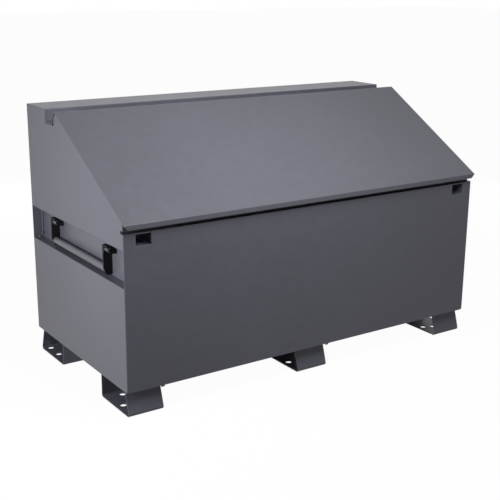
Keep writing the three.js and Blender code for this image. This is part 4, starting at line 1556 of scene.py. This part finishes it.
@dataclass
class Lid:
    """The lid: its panel, the ribs under it, the padlock staples, and the bumpers that it rests on."""

    lip: float = 16.5
    lip_corner: float = 14.5
    overhang: float = 3.2
    rib_top: float = 46.0
    rib_foot: float = 28.0
    rib_flange: float = 16.0
    rib_depth: float = 22.0
    rib_end: float = 62.0
    rib_x: float = 500.0
    rib_edge: float = 0.4
    spots: int = 9
    spot_inset: float = 20.0
    spot_out: float = 1.0
    spot_size: Pair = (3.2, 0.5)
    staple: float = 5.0
    staple_width: float = 28.0
    staple_length: float = 88.0
    staple_inset: float = 36.0
    staple_steps: int = 20
    staple_edge: float = 0.7
    eye: float = 6.5
    bumper_length: float = 60.0
    bumper_width: float = 14.0
    bumper_round: float = 5.0
    bumper_x: float = 462.0
    bumper_edge: float = 1.2
    edge: float = 0.5

    def build(self) -> None:
        """Builds every piece of the lid."""
        self.panel()
        for place, x in (("left", -self.rib_x), ("centre", 0.0), ("right", self.rib_x)):
            self.rib(place, x)
        for side, sign in SIDES.items():
            self.staple_piece(side, sign)
            self.bumper(side, sign)

    def panel(self) -> None:
        """Builds the panel: lip, slope, ridge, and the floor of the rain gutter."""
        wall, bottom = LAYOUT.ridge_y + LAYOUT.fold_run, LAYOUT.lid_front - self.lip
        path = [
            (LAYOUT.lip_y, bottom),
            (LAYOUT.lip_y, LAYOUT.lid_front),
            (LAYOUT.ridge_y, LAYOUT.height),
            (wall, LAYOUT.height - LAYOUT.fold_drop),
            (wall, LAYOUT.gutter_floor),
            (LAYOUT.hinge_y, LAYOUT.gutter_floor),
        ]
        end = LAYOUT.side_x + self.overhang
        blank = Blank().sheet(path, LAYOUT.lid_sheet, LAYOUT.fold, -1, Along.X, -end, end)
        clips = Blank()
        for sign in SIDES.values():
            corner = [
                (sign * (end - self.lip_corner - OVERRUN), bottom - OVERRUN),
                (sign * (end + OVERRUN), bottom - OVERRUN),
                (sign * (end + OVERRUN), bottom + self.lip_corner + OVERRUN),
            ]
            clips.prism(corner, Along.Y, LAYOUT.lip_y - OVERRUN, LAYOUT.lip_y + LAYOUT.lid_sheet + OVERRUN)
        plate(blank, "lid_panel", "sheet", Slot.LID, "lid", self.edge, cuts=[clips])

    def rib(self, place: str, x: float) -> None:
        """Builds a hat rib under the lid, with its spot welds."""
        top, foot, high = self.rib_top / 2, self.rib_foot / 2, LAYOUT.lid_under
        low = high - self.rib_depth
        path = [
            (x - top - self.rib_flange, high),
            (x - top, high),
            (x - foot, low),
            (x + foot, low),
            (x + top, high),
            (x + top + self.rib_flange, high),
        ]
        start, end = self.rib_end - LAYOUT.slope_length, -self.rib_end
        blank = Blank().sheet(path, LAYOUT.sheet, LAYOUT.fold, -1, Along.Y, start, end)
        node = f"{place}_lid_rib"
        plate(blank.placed(LAYOUT.lid_frame), node, "sheet", Slot.LID, "lid", self.rib_edge)
        pitch = (end - start - 2 * self.spot_inset) / (self.spots - 1)
        across = top + self.rib_flange / 2 + self.spot_out
        spots = [
            [(x + side * across, start + self.spot_inset + k * pitch, high - LAYOUT.sheet)]
            for side in (-1, 1)
            for k in range(self.spots)
        ]
        BUTTONS.lay(
            f"{place}_rib_spot_welds",
            spots,
            Slot.LID,
            "lid",
            matrix=LAYOUT.lid_frame,
            Radius=self.spot_size[0],
            Height=self.spot_size[1],
            Facing=LAYOUT.lid_frame.to_3x3() @ Vector((0, 0, 1)),
        )

    def staple_piece(self, side: str, sign: int) -> None:
        """Builds the staple that takes the padlock's shackle."""
        middle = self.staple_inset - LAYOUT.slope_length
        half = self.staple_width / 2
        eye = half - LAYOUT.lid_sheet - self.staple_length
        turns = [math.pi + math.pi * k / self.staple_steps for k in range(self.staple_steps + 1)]
        outline = [(middle + half, LAYOUT.lid_under), (middle - half, LAYOUT.lid_under)]
        outline += [(middle + half * math.cos(t), eye + half * math.sin(t)) for t in turns]
        x, thick = sign * LAYOUT.lock_x, self.staple / 2
        blank = Blank().prism(outline, Along.X, x - thick, x + thick)
        hole = Blank().prism(circle(middle, eye, self.eye), Along.X, x - OVERRUN, x + OVERRUN)
        plate(
            blank,
            f"{side}_staple",
            "plate",
            Slot.ZINC,
            "lid",
            self.staple_edge,
            segments=3,
            cuts=[hole],
            matrix=LAYOUT.lid_frame,
        )

    def bumper(self, side: str, sign: int) -> None:
        """Builds the rubber bumper on the header's flange."""
        across = math.cos(LAYOUT.slope)
        middle = (LAYOUT.riser_y + LAYOUT.header_flange * across / 2 - LAYOUT.ridge_y) / across
        half, reach, x = self.bumper_width / 2, self.bumper_length / 2, sign * self.bumper_x
        low = LAYOUT.seat - LAYOUT.lid_sheet - LAYOUT.bumper_height
        pad = rounded(rectangle(x - reach, x + reach, middle - half, middle + half), self.bumper_round)
        blank = Blank().prism(pad, Along.Z, low, LAYOUT.lid_under).placed(LAYOUT.lid_frame)
        plate(blank, f"{side}_bumper", "pad", Slot.RUBBER, "box", self.bumper_edge, segments=3)


@dataclass
class GasStrut(Sided):
    """A gas strut with its two brackets."""

    x: float = 730.0
    base: Point = (248.5, 752.0012)
    lid_run: float = 168.0
    lid_drop: float = 41.0
    tube: float = 9.0
    tube_length: float = 222.0
    rod: float = 4.0
    rod_length: float = 170.0
    rod_sides: int = 32
    bore: float = 4.8
    bore_end: float = 14.0
    eye: float = 9.0
    eye_plate: float = 6.0
    eye_sides: int = 40
    eye_edge: float = 0.8
    shank_start: float = 0.75
    shank_round: float = 1.2
    stud: float = 4.0
    stud_bore: float = 4.6
    stud_edge: float = 0.8
    stud_shoulder: Pair = (3.0, 10.0)
    stud_flare: float = 2.0
    short_stud_edge: float = 0.7
    short_stud_head: Pair = (2.5, 3.2)
    bracket: float = 44.0
    bracket_corner: float = 6.0
    body_edge: float = 0.6
    web_corner: float = 2.5
    web_shoulder: float = 6.0
    lid_edge: float = 0.5
    gauge: float = 3.0
    open_gap: float = 1.0
    body_bolts: tuple[Point, ...] = ((-14.0, 14.0), (14.0, 14.0), (0.0, -15.0))
    body_bolt_size: Pair = (5.2, 4.2)
    lid_bolts: Pair = (13.0, -13.0)
    lid_bolt_out: float = 1.5
    lid_bolt_size: Pair = (4.6, 3.8)

    @property
    def tip(self) -> Point:
        """The rod's end, under the lid's bracket, in (Y, Z)."""
        place = LAYOUT.lid_frame @ Vector((0, -self.lid_run * MM, -self.lid_drop * MM))
        return place.y / MM, place.z / MM

    @property
    def reach(self) -> float:
        """The length between the two eyes."""
        return math.dist(self.base, self.tip)

    @property
    def matrix(self) -> Matrix:
        """Places what lies along the strut, with Y from its base to its tip, in metres."""
        place = Matrix.Translation((self.sign * self.x * MM, self.base[0] * MM, self.base[1] * MM))
        return place @ Matrix.Rotation(heading(self.base, self.tip), 4, "X")

    def build(self) -> None:
        """Builds the tube, the rod and both brackets."""
        self.tube_piece()
        self.rod_piece()
        self.body_bracket()
        self.lid_bracket()

    def eye_end(self, at: float, shank_end: float) -> Blank:
        """Returns an eye with its shank, which lie in the plane across X."""
        half, r, edge = self.eye_plate / 2, self.eye, self.eye_edge
        profile = [
            (self.stud_bore, -half),
            (r - edge, -half),
            (r, edge - half),
            (r, half - edge),
            (r - edge, half),
            (self.stud_bore, half),
        ]
        blank = Blank().turned(profile, Along.X, (at, 0.0), hollow=True, sides=self.eye_sides)
        inner = r * self.shank_start
        shank = (at + inner, shank_end) if shank_end > at else (shank_end, at - inner)
        outline = rounded(rectangle(*shank, -self.stud, self.stud), self.shank_round)
        return blank.prism(outline, Along.X, -half, half)

    def tube_piece(self) -> None:
        """Turns the tube, with its rolled mouth, on its eye."""
        bottom, r, bore = self.eye - LAYOUT.seat, self.tube, self.bore
        end = self.tube_length
        profile = [
            (r - 1.5, bottom),
            (r - 0.4, bottom + 0.5),
            (r, bottom + 1.6),
            (r, end - 9.0),
            (r - 0.7, end - 8.2),
            (r - 0.7, end - 6.8),
            (r, end - 6.0),
            (r, end - 2.2),
            (r - 0.7, end - 0.7),
            (r - 2.4, end),
            (bore, end),
            (bore, bottom + self.bore_end),
        ]
        blank = self.eye_end(0.0, bottom + self.bore_end / 2).turned(profile, Along.Y, (0.0, 0.0))
        node = f"{self.side}_strut_tube"
        turning(blank.placed(self.matrix), f"{node}_turned", Slot.BLACK, f"{self.side}_strut_lower", node)

    def rod_piece(self) -> None:
        """Turns the rod on its eye."""
        tip = self.reach - self.eye
        start, r = self.reach - self.rod_length, self.rod
        profile = [
            (r - 0.7, start),
            (r, start + 0.7),
            (r, tip - 9.0),
            (r + 1.0, tip - 8.4),
            (r + 1.0, tip - 1.0),
            (r, tip),
        ]
        blank = self.eye_end(self.reach, tip - self.eye_plate)
        blank.turned(profile, Along.Y, (0.0, 0.0), sides=self.rod_sides)
        node = f"{self.side}_strut_rod"
        turning(blank.placed(self.matrix), f"{node}_turned", Slot.ZINC, f"{self.side}_strut_upper", node)

    def body_bracket(self) -> None:
        """Builds the plate on the side's inner face, with the stud through the tube's eye."""
        half, wall = self.bracket / 2, LAYOUT.inside_x
        y, z = self.base
        face = self.sign * (wall - self.gauge)
        outline = rounded(rectangle(y - half, y + half, z - half, z + half), self.bracket_corner)
        blank = Blank().prism(outline, Along.X, face, self.sign * wall)
        plate(blank, f"{self.side}_strut_body_bracket", "plate", Slot.ZINC, "box", self.body_edge)
        r, inner, outer, edge = self.stud, self.x - self.eye_plate, wall - self.gauge, self.stud_edge
        big, shoulder = r + self.stud_shoulder[0], outer - self.stud_shoulder[1]
        profile = [
            (r - edge, inner),
            (r, inner + edge),
            (r, shoulder - self.stud_flare),
            (big, shoulder),
            (big, outer),
        ]
        stud = Blank().turned(self.outward(profile), Along.X, self.base)
        turning(stud, f"{self.side}_strut_body_stud", Slot.ZINC, "box")
        spots = [[(face, y + across, z + up)] for across, up in self.body_bolts]
        NUTS.lay(
            f"{self.side}_strut_body_bolts",
            spots,
            Slot.ZINC,
            "box",
            sharp=True,
            Radius=self.body_bolt_size[0],
            Height=self.body_bolt_size[1],
            Facing=(-float(self.sign), 0.0, 0.0),
        )

    def lid_bracket(self) -> None:
        """Builds the angle under the lid, with the short stud beside the rod's eye."""
        under, half = LAYOUT.lid_under, self.bracket / 2
        face = self.x - self.eye_plate / 2 - self.open_gap - self.gauge
        run, drop = -self.lid_run, -self.lid_drop
        web = [
            (run - half, under),
            (run - half, under - self.web_shoulder),
            (run - self.eye, drop - self.eye),
            (run + self.eye, drop - self.eye),
            (run + half, under - self.web_shoulder),
            (run + half, under),
        ]
        outline = rounded(web, self.web_corner)
        blank = Blank().prism(outline, Along.X, self.sign * (face - self.gauge), self.sign * face)
        ends = sorted((self.sign * (face - half), self.sign * face))
        base = Blank().box((ends[0], run - half, under - self.gauge), (ends[1], run + half, under))
        plate(
            blank,
            f"{self.side}_strut_lid_bracket",
            "plate",
            Slot.ZINC,
            "lid",
            self.lid_edge,
            joins=[base],
            matrix=LAYOUT.lid_frame,
        )
        r, near, far, edge = self.stud, face - self.gauge, face + self.gauge, self.short_stud_edge
        big, head = r + self.short_stud_head[0], near - self.short_stud_head[1]
        profile = [(big, head), (big, near), (r, near), (r, far - edge), (r - edge, far)]
        stud = Blank().turned(self.outward(profile), Along.X, (run, drop)).placed(LAYOUT.lid_frame)
        turning(stud, f"{self.side}_strut_lid_stud", Slot.ZINC, "lid")
        x = self.sign * (face - half / 2 - self.lid_bolt_out)
        NUTS.lay(
            f"{self.side}_strut_lid_bolts",
            [[(x, run + along, under - self.gauge)] for along in self.lid_bolts],
            Slot.ZINC,
            "lid",
            matrix=LAYOUT.lid_frame,
            sharp=True,
            Radius=self.lid_bolt_size[0],
            Height=self.lid_bolt_size[1],
            Facing=LAYOUT.lid_frame.to_3x3() @ Vector((0, 0, -1)),
        )


# The studio


@dataclass(frozen=True)
class Softbox:
    """A soft lamp, with its place and the point that it faces, its size in metres and its power in watts."""

    name: str
    place: Place
    target: Place
    size: Pair
    power: float

    def build(self) -> None:
        """Hangs the lamp."""
        data = bpy.data.lights.new(self.name, "AREA")
        data.shape = "RECTANGLE"
        data.size, data.size_y = self.size
        data.energy = self.power
        lamp = add_object(self.name, data)
        place = Vector(self.place)
        lamp.location = place * MM
        lamp.rotation_euler = (Vector(self.target) - place).to_track_quat("-Z", "Y").to_euler()


SOFTBOXES = (
    Softbox("top_softbox", (-210, -950, 1780), (-190, -250, 640), (0.9, 0.9), 22.5),
    Softbox("left_softbox", (-1850, -330, 760), (-762, -300, 760), (0.5, 0.5), 15.2),
    Softbox("right_softbox", (3500, 600, 520), (762, 100, 470), (1.4, 0.7), 28.0),
    Softbox("rear_softbox", (500, 3300, 500), (0, 380, 470), (2.2, 0.7), 34.0),
)


@dataclass
class Studio:
    """A pale floor, soft lamps and the camera at the photograph's viewing angle."""

    azimuth: float = -34.164
    elevation: float = 16.055
    roll: float = 0.475
    eye: tuple[float, float, float] = (-2052.9, -2967.5, 1408.8)
    lens: float = 69.502
    sensor: float = 36.0
    clip: Pair = (0.05, 60.0)
    ambient: float = 0.09
    floor_reach: float = 30000.0
    floor_colour: str = "#5e5e5e"
    floor_shadow_share: float = 0.03

    def build(self) -> None:
        """Builds the studio."""
        self.camera()
        self.world()
        self.floor()
        for lamp in SOFTBOXES:
            lamp.build()
        bpy.context.scene.view_settings.view_transform = "Standard"

    def camera(self) -> None:
        """Places the camera."""
        a, e, r = (math.radians(v) for v in (self.azimuth, self.elevation, self.roll))
        back = Vector((math.sin(a) * math.cos(e), -math.cos(a) * math.cos(e), math.sin(e)))
        right = Vector((math.cos(a), math.sin(a), 0.0))
        level_right = right * math.cos(r) + back.cross(right) * math.sin(r)
        data = bpy.data.cameras.new("photo_camera")
        data.lens = self.lens
        data.sensor_width = self.sensor
        data.sensor_fit = "HORIZONTAL"
        data.clip_start, data.clip_end = self.clip
        camera = add_object("photo_camera", data)
        rotation = Matrix((level_right, back.cross(level_right), back)).transposed().to_4x4()
        camera.matrix_world = Matrix.Translation(Vector(self.eye) * MM) @ rotation
        bpy.context.scene.camera = camera

    def seen(self, tree: bpy.types.NodeTree) -> bpy.types.NodeSocket:
        """Returns a socket that is 1 for camera, glossy and transmission rays."""
        path = add_node(tree, "ShaderNodeLightPath").outputs
        seen = path["Is Camera Ray"]
        for kind in ("Is Glossy Ray", "Is Transmission Ray"):
            seen = add_node(tree, "ShaderNodeMath", {0: seen, 1: path[kind]}, operation="MAXIMUM").outputs[0]
        return seen

    def world(self) -> None:
        """Sets a white world for the eye and a plain ambient light for the object."""
        world = bpy.data.worlds.new("studio")
        world.use_nodes = True
        tree = world.node_tree
        tree.nodes.clear()
        plain, white = (
            add_node(tree, "ShaderNodeBackground", {"Color": WHITE, "Strength": strength}).outputs[0]
            for strength in (self.ambient, 1.0)
        )
        both = add_node(tree, "ShaderNodeMixShader", {0: self.seen(tree), 1: plain, 2: white})
        add_node(tree, "ShaderNodeOutputWorld", {"Surface": both.outputs[0]})
        bpy.context.scene.world = world

    def floor(self) -> None:
        """Lays the floor, which is white to the eye but for a faint shadow."""
        reach = self.floor_reach * MM
        data = bpy.data.meshes.new("studio_floor")
        data.from_pydata([(*p, 0.0) for p in rectangle(-reach, reach, -reach, reach)], [], [(0, 1, 2, 3)])
        material, tree = new_material("pale_floor")
        seen = self.seen(tree)
        mix = {"Factor": seen, "A": linear(self.floor_colour), "B": WHITE}
        tone = add_node(tree, "ShaderNodeMix", mix, data_type="RGBA")
        matt = add_node(tree, "ShaderNodeBsdfDiffuse", {"Color": tone.outputs[2]})
        white = add_node(tree, "ShaderNodeEmission", {"Color": WHITE, "Strength": 1.0})
        part = {0: seen, 1: 1.0 - self.floor_shadow_share}
        share = add_node(tree, "ShaderNodeMath", part, operation="MULTIPLY")
        links = {0: share.outputs[0], 1: matt.outputs[0], 2: white.outputs[0]}
        both = add_node(tree, "ShaderNodeMixShader", links)
        add_node(tree, "ShaderNodeOutputMaterial", {"Surface": both.outputs[0]})
        data.materials.append(material)
        floor = add_object("studio_floor", data)


def main() -> None:
    """Builds the box and its studio in order."""
    logging.basicConfig(level=logging.INFO, format="%(name)s: %(message)s")
    Studio().build()
    Shell().build()
    feet = [Foot(row, place) for row in ("front", "rear") for place in FEET]
    for foot in feet:
        foot.build()
    lines = [line for foot in feet for line in foot.weld_lines()]
    bead("foot_welds", "box", lines, Slot.FOOT, width=2.4, seed=11)
    for side in SIDES:
        PadlockPocket(side).build()
        SideHandle(side).build()
        GasStrut(side).build()
    LidHinge().build()
    Lid().build()


if __name__ == "__main__":
    main()
